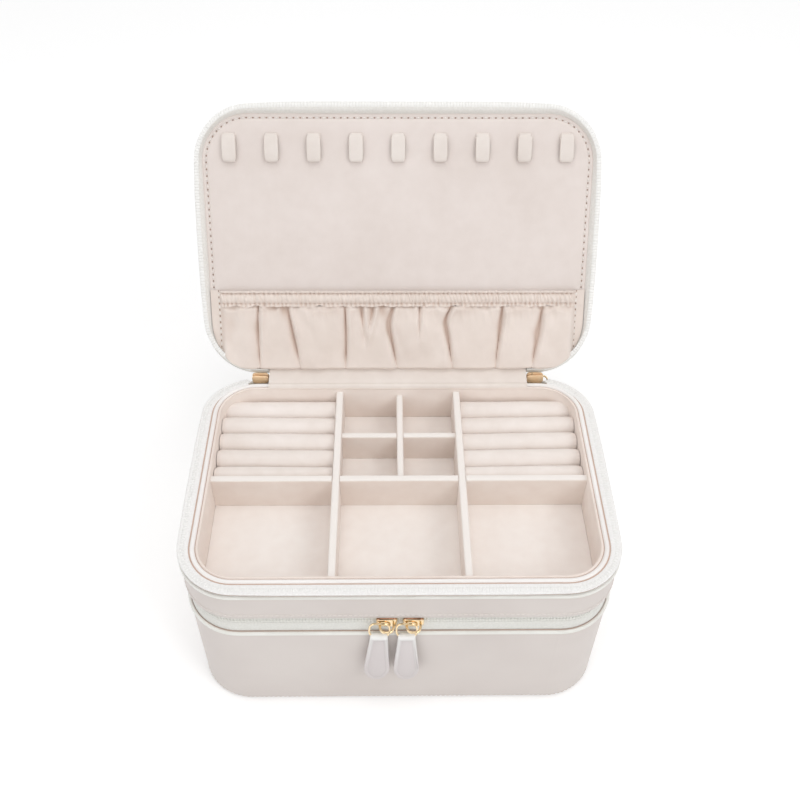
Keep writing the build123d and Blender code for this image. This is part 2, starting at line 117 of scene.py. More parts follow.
def build_pebble_grain():
    """Fine rounded pebbles with a little noise in them, and broad soft unevenness."""
    group, given, result = effect(
        "pebble_grain", {"Scale": 900.0, "Broad Scale": 30.0}, ("Height", "Broad")
    )
    scale = given.outputs["Scale"]
    cells = add(group, "TexVoronoi", Vector=add(group, "TexCoord").outputs["Object"], Scale=scale)
    cells.feature = "SMOOTH_F1"
    pebbles = maths(group, "MULTIPLY_ADD", cells.outputs["Distance"], -0.7, 1.0)
    height = maths(group, "MULTIPLY_ADD", cloudy(group, scale, 3.0), 0.5, pebbles)
    feed(group, result.inputs["Height"], height)
    feed(group, result.inputs["Broad"], cloudy(group, given.outputs["Broad Scale"], 2.0))
    return group


pebble_grain = build_pebble_grain()


def spread(tree, mask, low=0.0, high=1.0):
    """Brings a mask's values from about 0.3 to 0.7 to the range that a socket wants."""
    node = add(tree, "MapRange", Value=mask, From_Min=0.3, From_Max=0.7, To_Min=low, To_Max=high)
    return node.outputs["Result"]


def blend_colours(tree, mask, dark, light):
    """Mixes two colours by a mask."""
    node = add(tree, "Mix")
    node.data_type = "RGBA"
    for index, value in ((0, mask), (6, dark), (7, light)):
        feed(tree, node.inputs[index], value)
    return node.outputs[2]


def new_material(name):
    """Starts a material. Returns it and its node tree."""
    made = bpy.data.materials.new(name)
    made.use_nodes = True
    return made, made.node_tree


def complete(made, colour, bump=None, **values):
    """Feeds a material's shader its colour, its other values and a bump, which is given as its
    height, strength and distance."""
    tree = made.node_tree
    if bump:
        height, strength, distance = bump
        raised = add(tree, "Bump", Height=height, Strength=strength, Distance=distance)
        values["Normal"] = raised.outputs["Normal"]
    shader = tree.nodes["Principled BSDF"]
    for label, value in {"Base_Color": colour, **values}.items():
        feed(tree, shader.inputs[label.replace("_", " ")], value)
    return made


def leather_finish(name, dark, light, roughness, grain=900.0, relief=0.25):
    """Artificial leather: pebble grain, broad colour change and an uneven satin."""
    made, tree = new_material(name)
    pebbles = add(tree, "Group", pebble_grain, Scale=grain, Broad_Scale=22.0)
    broad = pebbles.outputs["Broad"]
    return complete(
        made, blend_colours(tree, spread(tree, broad), dark, light),
        bump=(pebbles.outputs["Height"], relief, 0.00012), Specular_IOR_Level=0.4,
        Roughness=spread(tree, broad, roughness - 0.05, roughness + 0.05),
    )


def dress(obj, material):
    """Gives a piece one material."""
    obj.data.materials.clear()
    obj.data.materials.append(material)
    return obj


def dress_cut(material, *nodes):
    """Gives pieces that are cut and not shaped here their finish."""
    for node in nodes:
        dress(frame["nodes"][node], material)


cover_leather = leather_finish("cover_leather", tint(214, 205, 200), tint(221, 213, 208), 0.48)
dress_cut(cover_leather, "base_cover", "tray_cover")


# ---------------------------------------------------------------- greyboard
# The stiff walls are cut from greyboard and folded up. It is a dull pressed pulp, speckled with
# paler fibres, and shows only where the case is taken apart.

def board_finish():
    """Grey pulp, streaked along its sheet with paler fibres."""
    made, tree = new_material("greyboard")
    fibres = cloudy(tree, 600.0, 6.0, (1, 3, 3))
    colour = blend_colours(tree, spread(tree, fibres), tint(150, 140, 126), tint(184, 175, 160))
    return complete(made, colour, bump=(fibres, 0.3, 0.0002), Roughness=0.9)


greyboard = board_finish()
dress_cut(greyboard, "base_board", "tray_board", "tray_floor")


# ---------------------------------------------------------------- edge stitching
# The covers are sewn along their lower edges with a pale thread, a millimetre or two above the
# fold. Each stitch sinks half its thickness into the leather.

low_corner, high_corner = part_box("base_cover")
case_width = high_corner.x - low_corner.x
case_depth = high_corner.y - low_corner.y
corner_radius = 0.030
corner_reach = 0.028
flat_x = case_width / 2 - corner_radius
flat_y = case_depth / 2 - corner_radius


def finished(name, bm, material):
    """Turns a bmesh into a smooth-shaded piece with one material."""
    mesh = bpy.data.meshes.new(name)
    bm.to_mesh(mesh)
    bm.free()
    mesh.shade_smooth()
    mesh.set_sharp_from_angle(angle=math.radians(50))
    piece = bpy.data.objects.new(name, mesh)
    bpy.context.scene.collection.objects.link(piece)
    return dress(piece, material)


def fix(piece, body, slot, *nodes):
    """Fixes a piece to its body, in place of the CAD nodes that it stands for."""
    if nodes:
        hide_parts(*nodes)
    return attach(piece, body)


def bevelled(bm, geom, offset, segments, affect="EDGES", clamp_overlap=False):
    """Rounds edges, or the corners of a flat outline, by an offset."""
    bmesh.ops.bevel(
        bm, geom=geom, offset=offset, offset_type="OFFSET", segments=segments, profile=0.5,
        affect=affect, material=-1, clamp_overlap=clamp_overlap,
    )


def add_block(bm, place, angle, size):
    """A block of a (run, depth, height), turned about the vertical."""
    stand = Matrix.Translation(place) @ Matrix.Rotation(angle, 4, "Z")
    bmesh.ops.create_cube(bm, size=1, matrix=stand @ Matrix.Diagonal((*size, 1)))


def corner_share(x, y):
    """How near a point of the outline is to the middle of a corner: 1 there, 0 far along a side."""
    over_x = abs(x) - flat_x
    over_y = abs(y) - flat_y
    if over_x > 0 and over_y > 0:
        away = corner_radius * abs(math.atan2(over_y, over_x) - math.pi / 4)
    else:
        away = corner_radius * math.pi / 4 - min(over_x, over_y)
    return math.exp(-((away / corner_reach) ** 2))


def places_round(side, front, back, pitch, gap=0, phase=0.5):
    """Places at a pitch round an outline, each with its outward turn, leaving a gap behind."""
    radius = corner_radius - side
    near = -case_depth / 2 + front + radius
    far = case_depth / 2 - back - radius
    arc = radius * math.pi / 2
    reach = flat_x + arc + (far - near) + arc + (flat_x - gap)
    for step in range(int(reach / pitch)):
        run = (step + phase) * pitch
        if run < flat_x:
            x, y, angle = run, near - radius, 0
        elif run < flat_x + arc:
            angle = (run - flat_x) / radius
            x, y = flat_x + radius * math.sin(angle), near - radius * math.cos(angle)
        elif run < flat_x + arc + far - near:
            x, y, angle = flat_x + radius, near + run - flat_x - arc, math.pi / 2
        elif run < flat_x + 2 * arc + far - near:
            angle = math.pi / 2 + (run - flat_x - arc - far + near) / radius
            x, y = flat_x + radius * math.sin(angle), far - radius * math.cos(angle)
        else:
            x, y, angle = 2 * flat_x + 2 * arc + far - near - run, far + radius, math.pi
        yield Vector((x, y, 0)), angle
        yield Vector((-x, y, 0)), -angle


def row_round(name, where, pitch, size, material, gap=0, last_y=1, phase=0.5, pull=0):
    """A row of small rounded blocks round the outline where = (side, front, back, z). size is a
    block's (run, depth, height), last_y is where the row ends, and pull is how far it is drawn in
    at the corners."""
    bm = bmesh.new()
    side, front, back, z = where[:4]
    for place, angle in places_round(side, front, back, pitch, gap, phase):
        if place.y < last_y:
            share = corner_share(place.x, place.y) * pull
            place += Vector((-share * math.sin(angle), share * math.cos(angle), z))
            add_block(bm, place, angle, size)
    bevelled(bm, bm.edges[:], min(size) * 0.34, 1)
    return finished(name, bm, material)


def thread_finish(name, dark, light):
    """Twisted thread: a little fuzz, and a colour that changes along it."""
    made, tree = new_material(name)
    fuzz = cloudy(tree, 2000.0, 2.0)
    colour = blend_colours(tree, spread(tree, fuzz), dark, light)
    return complete(made, colour, bump=(fuzz, 0.4, 0.0001), Roughness=0.8)


pale_thread = thread_finish("pale_thread", tint(222, 214, 208), tint(236, 230, 225))
edge_pitch = 0.0027
edge_stitch = (0.0017, 0.0003, 0.0004)
for body, height, inset in (("base", 0.0026, 0), ("tray", 0.0010, -0.0003)):
    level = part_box(body + "_cover")[0].z + height
    where = (inset, inset, inset, level)
    row = row_round(body + "_edge_thread", where, edge_pitch, edge_stitch, pale_thread)
    fix(row, body, "piping")


# ---------------------------------------------------------------- piping
# A cord wrapped in ivory leather is sewn into the seam at the top of the base's wall and at the
# top of the tray's wall. The needle pulls it in a little at each stitch.

corner_steps = 14
side_steps = 27
piping_inset = 0.00015
cord_radius_mm = 1.1
cord_stitch = 0.0032


def rim(bm):
    """The case's rounded outline as a closed row of edges."""
    square = bmesh.ops.create_grid(bm, x_segments=1, y_segments=1, size=0.5)["verts"]
    bmesh.ops.scale(bm, vec=(case_width, case_depth, 1), verts=square)
    bevelled(bm, square, corner_radius, corner_steps, affect="VERTICES")
    bmesh.ops.delete(bm, geom=bm.faces[:], context="FACES_ONLY")
    straight = [edge for edge in bm.edges if edge.calc_length() > corner_radius]
    bmesh.ops.subdivide_edges(bm, edges=straight, cuts=side_steps)
    return bm.edges[:]


def only(kind, geom):
    """The verts or the edges of an operator's result."""
    return [part for part in geom if isinstance(part, kind)]


def draw_out(bm, edges, shift):
    """Extrudes a row of edges by a shift. Returns the new row."""
    grown = bmesh.ops.extrude_edge_only(bm, edges=edges)["geom"]
    bmesh.ops.translate(bm, vec=shift, verts=only(bmesh.types.BMVert, grown))
    return only(bmesh.types.BMEdge, grown)


def distance_round(x, y):
    """How far a point lies round the case from the middle of its front, by the shorter way."""
    over_x = max(abs(x) - flat_x, 0)
    over_y = max(abs(y) - flat_y, 0)
    quarter = corner_radius * math.pi / 2
    if over_x and over_y:
        turn = corner_radius * math.atan2(over_x, over_y)
        return flat_x + turn if y < 0 else flat_x + 2 * quarter + 2 * flat_y - turn
    if over_x:
        return flat_x + quarter + y + flat_y
    return abs(x) if y < 0 else 2 * flat_x + 2 * flat_y + 2 * quarter - abs(x)


def sweep_round(bm, steps):
    """Draws the outline through a row of steps, each given as (side, front, back, z) and, if it
    is drawn in at the corners, by how much. UVs are in metres, round the case and along the
    steps. Returns the last outline's edges."""
    edges = rim(bm)
    for _ in steps[1:]:
        edges = draw_out(bm, edges, (0, 0, 1))
    along = [0.0]
    for first, second in zip(steps, steps[1:]):
        along.append(along[-1] + math.hypot(second[1] - first[1], second[3] - first[3]))
    layer = bm.loops.layers.uv.new("round")
    for face in bm.faces:
        half = math.copysign(1, face.calc_center_median().x)
        for loop in face.loops:
            x, y, step = loop.vert.co
            loop[layer].uv = (half * distance_round(x, y), along[round(step)])
    for vert in bm.verts:
        side, front, back, z, *pull = steps[round(vert.co.z)]
        core = Vector((max(-flat_x, min(flat_x, vert.co.x)), max(-flat_y, min(flat_y, vert.co.y))))
        away = (vert.co.xy - core) / corner_radius
        across = back if away.y > 0 else front
        share = corner_share(vert.co.x, vert.co.y) * sum(pull)
        vert.co = (
            core.x + away.x * (corner_radius - side - share),
            core.y + away.y * (corner_radius - across - share), z,
        )
    return edges


def band(name, steps, material, gap=0):
    """A band round the case, left out behind within a gap. Steps that end where they start close
    it to a ring."""
    bm = bmesh.new()
    sweep_round(bm, steps)
    bmesh.ops.remove_doubles(bm, verts=bm.verts, dist=1e-6)
    if gap:
        lost = [vert for vert in bm.verts if abs(vert.co.x) < gap and vert.co.y > 0]
        bmesh.ops.delete(bm, geom=lost, context="VERTS")
    bmesh.ops.recalc_face_normals(bm, faces=bm.faces)
    return finished(name, bm, material)


def level_steps(inset, level, *pairs):
    """Steps that are the same all round. Each pair is in mm: how far in it lies from the inset,
    and how high above the level."""
    return [(inset + side / 1000,) * 3 + (level + rise / 1000,) for side, rise in pairs]


def cord_steps(level, count=12):
    """The round cross-section of a cord."""
    turns = [2 * math.pi * step / count for step in range(count + 1)]
    pairs = [(cord_radius_mm * math.cos(turn), cord_radius_mm * math.sin(turn)) for turn in turns]
    return level_steps(piping_inset, level, *pairs)


def round_and_across(tree):
    """Metres round the case and across a band, from the band's UVs."""
    place = add(tree, "UVMap")
    place.uv_map = "round"
    parts = add(tree, "SeparateXYZ", Vector=place.outputs[0])
    return parts.outputs["X"], parts.outputs["Y"]


def piping_finish():
    """Ivory leather that is pinched once a stitch along the cord."""
    made, tree = new_material("piping_leather")
    pebbles = add(tree, "Group", pebble_grain, Scale=1400.0, Broad_Scale=60.0)
    mask = spread(tree, pebbles.outputs["Broad"])
    colour = blend_colours(tree, mask, tint(230, 228, 222), tint(239, 238, 233))
    run = round_and_across(tree)[0]
    wave = maths(tree, "SINE", maths(tree, "MULTIPLY", run, 2 * math.pi / cord_stitch))
    height = maths(tree, "MULTIPLY_ADD", wave, 0.5, pebbles.outputs["Height"])
    return complete(made, colour, bump=(height, 0.35, 0.00012), Roughness=0.45)


piping_leather = piping_finish()
for body in ("base", "tray"):
    low_corner, high_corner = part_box(body + "_piping")
    middle = (low_corner.z + high_corner.z) / 2
    fix(band(body + "_cord", cord_steps(middle), piping_leather), body, "piping", body + "_piping")


# ---------------------------------------------------------------- middle zip
# A coil zip joins the base to the tray. Each half is a woven ivory tape sewn inside the wall,
# with a moulded coil along its edge. The teeth of the two coils mesh in the seam.

tape_inset = 0.0015
tooth_pitch = 0.0017
coil_clearance = 0.0003


def build_weave():
    """A fine plain weave in UV space: crossed ribs, and the threads' own unevenness."""
    group, given, result = effect("plain_weave", {"Thread": 0.0006}, ("Height", "Shade"))
    count = maths(group, "DIVIDE", 2 * math.pi, given.outputs["Thread"])
    warp, weft = [
        maths(group, "SINE", maths(group, "MULTIPLY", run, count))
        for run in round_and_across(group)
    ]
    feed(group, result.inputs["Height"], maths(group, "MULTIPLY", warp, weft))
    feed(group, result.inputs["Shade"], cloudy(group, 900.0, 3.0))
    return group


plain_weave = build_weave()


def tape_finish(name, dark, light):
    """Woven tape, a little uneven in its colour."""
    made, tree = new_material(name)
    threads = add(tree, "Group", plain_weave, Thread=0.0007)
    colour = blend_colours(tree, spread(tree, threads.outputs["Shade"]), dark, light)
    return complete(made, colour, bump=(threads.outputs["Height"], 0.25, 0.0001), Roughness=0.8)


zip_tape = tape_finish("zip_tape", tint(234, 232, 230), tint(242, 241, 240))
middle_ivory = tape_finish("middle_tape", tint(225, 224, 218), tint(234, 233, 228))


def coil_finish(name, dark, light):
    """Moulded nylon, a little glossier than the tape, with faint random clouds in its colour."""
    made, tree = new_material(name)
    colour = blend_colours(tree, spread(tree, cloudy(tree, 700.0, 2.0)), dark, light)
    return complete(made, colour, Roughness=spread(tree, cloudy(tree, 300.0, 2.0), 0.40, 0.52))


middle_nylon = coil_finish("middle_nylon", tint(222, 221, 214), tint(231, 230, 224))

# A flat rim closes the tray's wall from below.
under_low, under_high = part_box("tray_underside")
rim_steps = [
    (inset, inset, inset, under_low.z + 0.0004)
    for inset in (tape_inset + 0.0005, case_width / 2 - under_high.x + 0.0006)
]
fix(band("tray_under_rim", rim_steps, zip_tape), "tray", "suede")

# The tray's leather is turned under its wall in a hem that hangs 2 mm over the zip.
tray_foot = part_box("tray_cover")[0].z
hem_steps = level_steps(
    0, tray_foot, (0.2, 1.9), (-0.2, 1.7), (-0.3, 0.8), (-0.2, -1.7), (0.1, -2.0), (0.7, -1.9),
    (0.9, 0.2),
)
fix(band("tray_hem", hem_steps, cover_leather), "tray", "outer_leather")

seam = (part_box("base_zip_tape")[1].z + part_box("middle_zip_tape")[0].z) / 2
foot_mm = (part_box("base_zip_tape")[0].z + 0.0010 - seam) * 1000
head_mm = (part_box("middle_zip_tape")[1].z + 0.0004 - seam) * 1000
strip_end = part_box("hinge_strip_lower")[1].x
coil_end = strip_end + coil_clearance
for name, node, body, *pairs in (
    (
        "base_tape", "base_zip_tape", "base", (-0.2, foot_mm), (-0.4, foot_mm + 1.0), (-0.3, -3.5),
        (0, -3.0), (0.1, -2.7), (0.1, -0.1), (0.8, -0.1), (0.8, foot_mm), (-0.2, foot_mm),
    ),
    (
        "middle_tape", "middle_zip_tape", "tray", (0.1, 0.1), (0.1, 2.7), (0, 3.1), (0, head_mm),
        (0.8, head_mm), (0.8, 0.1), (0.1, 0.1),
    ),
):
    tape = band(name, level_steps(tape_inset, seam, *pairs), middle_ivory, gap=strip_end)
    fix(tape, body, "zip_tape", node)
for name, node, body, rise, tooth in (
    ("base_coil", "base_zip_coil", "base", -0.00145, (0.00169, 0.0004, 0.0026)),
    ("middle_coil", "middle_zip_coil", "tray", 0.0013, (0.00125, 0.0005, 0.0024)),
):
    where = (tape_inset, tape_inset, tape_inset, seam + rise)
    coil = row_round(name, where, tooth_pitch, tooth, middle_nylon, gap=coil_end)
    fix(coil, body, "zip_coil", node)


# ---------------------------------------------------------------- suede linings
# Every inside face is lined with a brushed blush suede, glued flat. The nap lies in different
# ways, which leaves soft clouds of lighter and darker cloth.

def build_nap():
    """Short brushed nap: very fine fibres, and broad clouds where it lies another way."""
    group, given, result = effect("brushed_nap", {"Fibre Scale": 2600.0}, ("Height", "Clouds"))
    fibres = cloudy(group, given.outputs["Fibre Scale"], 4.0)
    brushed_and_lit_top = cloudy(group, 700.0, 3.0, (1, 1.8, 1))
    feed(group, result.inputs["Height"], maths(group, "MULTIPLY_ADD", brushed_and_lit_top, 0.6, fibres))
    broad = maths(group, "MULTIPLY", cloudy(group, 26.0, 3.0), 0.6)
    clouds = maths(group, "MULTIPLY_ADD", cloudy(group, 140.0, 3.0), 0.4, broad)
    feed(group, result.inputs["Clouds"], clouds)
    return group


brushed_nap = build_nap()


def facing_up(tree):
    """A mask of the faces that look up on the piece itself."""
    parts = add(tree, "SeparateXYZ", Vector=add(tree, "TexCoord").outputs["Normal"])
    return spread(tree, parts.outputs["Z"])


def suede_finish(name, dark, light, relief=0.3, brushed_and_lit_top=None):
    """Suede between two colours. Where a lit top colour is given, its upward faces are painted
    that paler colour as a highlight.
    """
    made, tree = new_material(name)
    nap = add(tree, "Group", brushed_nap, Fibre_Scale=2600.0)
    colour = blend_colours(tree, spread(tree, nap.outputs["Clouds"]), dark, light)
    if brushed_and_lit_top:
        # Painted highlight: upward faces take the paler colour.
        colour = blend_colours(tree, facing_up(tree), colour, brushed_and_lit_top)
    return complete(
        made, colour, bump=(nap.outputs["Height"], relief, 0.00015), Roughness=0.95,
        Specular_IOR_Level=0.2, Sheen_Weight=0.25, Sheen_Roughness=0.5,
    )


lining_suede = suede_finish("lining_suede", tint(228, 214, 205), tint(238, 227, 219))
floor_suede = suede_finish("floor_suede", tint(236, 227, 221), tint(244, 238, 233))
dress_cut(lining_suede, "base_lining", "tray_underside")
dress_cut(floor_suede, "tray_floor_lining")


# ---------------------------------------------------------------- tray frame
# The tray's inner wall is a padded frame. White leather is rolled over its top as a soft lip and
# tucks into a groove, above the turned edge of the suede that lines the wall.

lip_leather = leather_finish(
    "lip_leather", tint(236, 232, 229), tint(243, 240, 238), 0.36, grain=1500.0, relief=0.12
)
frame_low, frame_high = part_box("tray_frame")
frame_outer = case_width / 2 - frame_high.x
frame_inner = frame_outer + 0.0046
lip_top = frame_high.z
frame_foot_mm = (frame_low.z - lip_top) * 1000


def half_round(middle, half, top, rise, turn=1.0):
    """Pairs of inset and height over a roll, from its outer side inwards."""
    pairs = []
    for step in range(11):
        angle = math.pi - turn * math.pi * step / 10
        pairs.append((middle + half * math.cos(angle), top - rise + rise * math.sin(angle)))
    return pairs


lip_steps = level_steps(
    frame_outer, lip_top, (0, frame_foot_mm + 12), *half_round(1.45, 1.45, 0, 1.7, turn=0.86),
    (2.7, -1.9),
)
fix(band("tray_lip", lip_steps, lip_leather), "tray", "outer_leather", "tray_frame")

wall_steps = level_steps(
    frame_inner, lip_top, (-1.5, -1.8), *half_round(-0.75, 0.75, -0.5, 0.7), (-0.1, -1.5),
    (-0.3, -1.8), (0, -2.2), (0, frame_foot_mm),
)
fix(band("tray_wall_lining", wall_steps, lining_suede), "tray", "suede")

# A darker suede strip in the groove between them is painted shade.
painted_shade_suede = suede_finish("painted_shade_suede", tint(190, 163, 149), tint(203, 178, 165))
groove_steps = level_steps(frame_outer, lip_top, (2.6, -1.2), (3.3, -1.2))
fix(band("tray_lip_shade", groove_steps, painted_shade_suede), "tray", "suede")


# ---------------------------------------------------------------- dividers
# Cards wrapped in the same suede slot into each other with halving joints. Their upward faces
# are painted paler than their sides, as a highlight of the light from above.

divider_suede = suede_finish(
    "divider_suede", tint(228, 214, 205), tint(237, 227, 219), brushed_and_lit_top=tint(238, 232, 227)
)
dress_cut(
    divider_suede, "column_divider_left", "column_divider_right", "cross_divider",
    "centre_divider", "centre_cross_divider",
)


# ---------------------------------------------------------------- ring rolls
# Foam rods wrapped in suede lie side by side and grip rings in the slits between them. Each is
# a little uneven: the wrap is pulled in at the outer wall and pressed flat at the divider.

roll_suede = suede_finish("roll_suede", tint(229, 219, 212), tint(239, 231, 226))
roll_count = 5
roll_cuts = 40
roll_lean = 0.0011
rolls_middle = (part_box("ring_roll_left_1")[0].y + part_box("ring_roll_left_5")[1].y) / 2


def ring_roll(side, number):
    """A roll drawn out from the arch of its end. It leans forward towards the divider, and the
    first and last keep the side that lies along a wall."""
    node = f"ring_roll_{side}_{number}"
    low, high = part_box(node)
    radius = (high.y - low.y) / 2
    length = high.x - low.x
    middle_y = (low.y + high.y) / 2
    bm = bmesh.new()
    front_leg = [bm.verts.new((0, -radius, z)) for z in (-0.008, -0.003, 0)]
    arch = bmesh.ops.spin(
        bm, geom=front_leg[2:], cent=(0, 0, 0), axis=(1, 0, 0), dvec=(0, 0, 0), angle=-math.pi,
        steps=16,
    )
    back_leg = only(bmesh.types.BMVert, arch["geom_last"])
    back_leg += [bm.verts.new((0, radius, z)) for z in (-0.003, -0.008)]
    for leg in (front_leg, back_leg):
        for pair in zip(leg, leg[1:]):
            bm.edges.new(pair)
    section = bm.edges[:]
    for _ in range(roll_cuts):
        section = draw_out(bm, section, (length / roll_cuts, 0, 0))
    seed = 7.3 * (number + (10 if side == "left" else 0))
    inward = 1 if middle_y < rolls_middle else -1
    for vert in bm.verts:
        run = vert.co.x / length if side == "left" else 1 - vert.co.x / length
        pinch = 1 - 0.13 * max(0, 1 - run / 0.04) ** 2 - 0.03 * max(0, 1 - (1 - run) / 0.01)
        bulge = 1 + 0.03 * math.sin(math.pi * run)
        place = Vector((vert.co.x * 60, vert.co.y * 90, seed))
        ripple = 0.00022 * noise.noise(place) + 0.0001 * noise.noise(place * 3.1)
        vert.co.y *= min(pinch * bulge, 1.0)
        slide = roll_lean * run ** 1.4
        if number in (1, roll_count):
            slide *= (radius + inward * vert.co.y) / 2 / radius
        vert.co.y -= slide
        if vert.co.z > 0:
            vert.co.z = (vert.co.z + ripple) * pinch
    bmesh.ops.holes_fill(bm, edges=bm.edges, sides=0)
    bmesh.ops.translate(bm, vec=(low.x, middle_y, high.z - radius), verts=bm.verts)
    bmesh.ops.recalc_face_normals(bm, faces=bm.faces)
    roll = fix(finished(node + "_pad", bm, roll_suede), "tray", "padding", node)


for side in ("left", "right"):
    for number in range(1, roll_count + 1):
        ring_roll(side, number)


# ---------------------------------------------------------------- top zip, tray half
# The tray's half of the top zip stands out over the wall when the lid is open. The tape comes up
# beside the lip, carries the coil's teeth on its flat top, and rolls over at its free edge.

top_nylon = coil_finish("top_nylon", tint(230, 229, 226), tint(239, 238, 236))
top_tooth = (0.0012, 0.0022, 0.00022)
coil_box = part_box("tray_zip_coil")
tray_flare = coil_box[1].x - case_width / 2
tray_rear = case_depth / 2 - coil_box[1].y
slider_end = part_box("top_slider_right")[1].x + coil_clearance
coil_rise = 0.0005
tray_deck = coil_box[1].z - coil_rise


def tray_round(inset, rise):
    """A step of the tray's band, in mm from the case's side and from the deck. Its rear edge
    doesn't flare, and its outer part is drawn in at the corners."""
    side = inset / 1000
    pull = max(0, 2.8 - inset) / 4000
    return (side, side, side + tray_flare + tray_rear, tray_deck + rise / 1000, pull)


tray_steps = [
    tray_round(*pair) for pair in (
        (5.1, -3.0), (5.0, -0.8), (4.7, -0.2), (4.2, 0), (1.5, 0.1), (-0.2, 0.1), (-0.9, 0.3),
        (-1.4, 0.1), (-1.6, -0.5), (-1.4, -1.1), (-0.6, -1.6), (1.4, -3.8),
    )
]
fix(band("tray_tape", tray_steps, zip_tape, gap=slider_end), "tray", "zip_tape", "tray_zip_tape")

# A brown suede strip under the tape's rolled edge is painted shade.
edge_steps = [tray_round(*pair) for pair in ((-1.62, -0.5), (-1.5, -1.1), (-1.1, -1.5))]
fix(band("tray_edge_shade", edge_steps, painted_shade_suede, gap=slider_end), "tray", "suede")

tray_coil = row_round(
    "tray_coil", tray_round(1.4, 0.1), tooth_pitch, top_tooth, top_nylon, gap=slider_end,
    pull=0.0004,
)
fix(tray_coil, "tray", "zip_coil", "tray_zip_coil")

# Strips of darker suede in the gap beside the lip and in the seams under the two cords are
# painted shade.
tray_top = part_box("tray_piping")[1].z
base_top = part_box("base_piping")[1].z
for name, body, end, level, *pairs in (
    ("lip_gap", "tray", slider_end, tray_deck, (4.8, -0.5), (6.0, -0.5)),
    ("tray_cord_seam", "tray", strip_end, tray_top, (0.22, -0.6), (-0.2, 0)),
    ("base_cord_seam", "base", strip_end, base_top, (0.9, -0.3), (0.9, 0.6)),
):
    fix(band(name, level_steps(0, level, *pairs), painted_shade_suede, gap=end), body, "suede")


# ---------------------------------------------------------------- lid shell
# The lid is a shallow board tray with foam in it, covered in the same leather. Every lid piece
# is shaped as if the lid were shut, then turned open about the hinge.

def foam_finish():
    """Sealed foam with fine cells, a little uneven in its colour."""
    made, tree = new_material("lid_foam")
    place = add(tree, "TexCoord").outputs["Object"]
    cells = add(tree, "TexVoronoi", Vector=place, Scale=1200.0)
    mask = spread(tree, cloudy(tree, 60.0, 2.0))
    colour = blend_colours(tree, mask, tint(232, 228, 215), tint(242, 240, 230))
    return complete(made, colour, bump=(cells.outputs["Distance"], 0.5, 0.0004), Roughness=0.95)


dress_cut(cover_leather, "lid_cover")
dress_cut(greyboard, "lid_board")
dress_cut(foam_finish(), "lid_foam")

lid_hinge = next(joint for joint in frame["joints"] if joint["name"] == "lid_hinge")
lid_axis = Vector(lid_hinge["pos_m"])
lid_turn = Matrix.Rotation(math.radians(lid_hinge["range_deg"][0]), 4, "X")
lid_open = Matrix.Translation(lid_axis) @ lid_turn @ Matrix.Translation(-lid_axis)
seam_below_axis = 0.0017
lid_seam = lid_axis.z - seam_below_axis


def on_lid(piece, slot, *nodes):
    """Turns a piece from the shut lid to the open one, and fixes it there."""
    piece.data.transform(lid_open)
    return fix(piece, "lid", slot, *nodes)


lid_cord_z = lid_seam + 0.0052
on_lid(band("lid_cord", cord_steps(lid_cord_z), piping_leather), "piping", "lid_piping")


# ---------------------------------------------------------------- lid panel
# A padded card wrapped in suede closes the lid from below. Its rolled border goes up behind the
# zip, and a row of brown stitches pulls the nap down a little inside it.

panel_suede = suede_finish("panel_suede", tint(221, 210, 204), tint(229, 219, 214), relief=0.25)
panel_face = lid_seam + 0.0037
panel_side, panel_front, panel_back = 0.0028, 0.0020, 0.0026
panel_steps = (
    (0, 1.6), (0.1, 0.9), (0.5, 0.4), (1.2, 0.1), (2.0, 0.1), (2.5, 0.4), (3.0, 0.4), (3.6, 0),
    (5.0, -0.3), (8.0, -0.3), (14.0, -0.2),
)


def panel_place(run, rise):
    """A step of the panel, in mm from its edge inwards and from its face."""
    sides = [inset + run / 1000 for inset in (panel_side, panel_front, panel_back)]
    return (*sides, panel_face + rise / 1000, -0.0004)


def face_down(bm):
    """Turns a sheet's faces to the side that looks down when the lid is shut."""
    bmesh.ops.recalc_face_normals(bm, faces=bm.faces)
    bm.normal_update()
    if sum(face.normal.z * face.calc_area() for face in bm.faces) > 0:
        bmesh.ops.reverse_faces(bm, faces=bm.faces)


def lid_panel():
    """The panel's rolled border, closed by one flat face."""
    bm = bmesh.new()
    edges = sweep_round(bm, [panel_place(*step) for step in panel_steps])
    bmesh.ops.contextual_create(bm, geom=edges)
    face_down(bm)
    return finished("lid_panel", bm, panel_suede)


on_lid(lid_panel(), "suede", "lid_lining_panel")

# Each stitch is a brown hole, with a bead of pale thread between it and the next.
brown_thread = thread_finish("brown_thread", tint(146, 124, 112), tint(170, 149, 135))
panel_hole = (0.0010, 0.0008, 0.0005)
panel_bead = (0.0014, 0.0010, 0.0007)
panel_pitch = 0.0038
stitch_run = 2.7
pocket_line = 0.0255
for name, rise, size, thread, phase in (
    ("panel_stitch_holes", 0.3, panel_hole, brown_thread, 0.5),
    ("panel_thread", 0.2, panel_bead, pale_thread, 1.0),
):
    where = panel_place(stitch_run, rise)
    row = row_round(name, where, panel_pitch, size, thread, last_y=pocket_line, phase=phase)
    on_lid(row, "suede")


# ---------------------------------------------------------------- top zip, lid half
# The lid's half of the top zip hangs from the seam under the piping. Its smooth tape shows beside
# the panel, and the coil's teeth stand on the flange outside it, wider at the front.

lid_nylon = coil_finish("lid_nylon", tint(238, 237, 234), tint(245, 244, 242))
lid_tape_ivory = tape_finish("lid_tape", tint(228, 226, 221), tint(238, 236, 232))
lid_tooth = (0.0015, 0.0027, 0.00030)
lid_deck = lid_seam + 0.0007
lid_tape_back = case_depth / 2 - 0.0019
hinge_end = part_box("lid_hinge_strip")[1].x
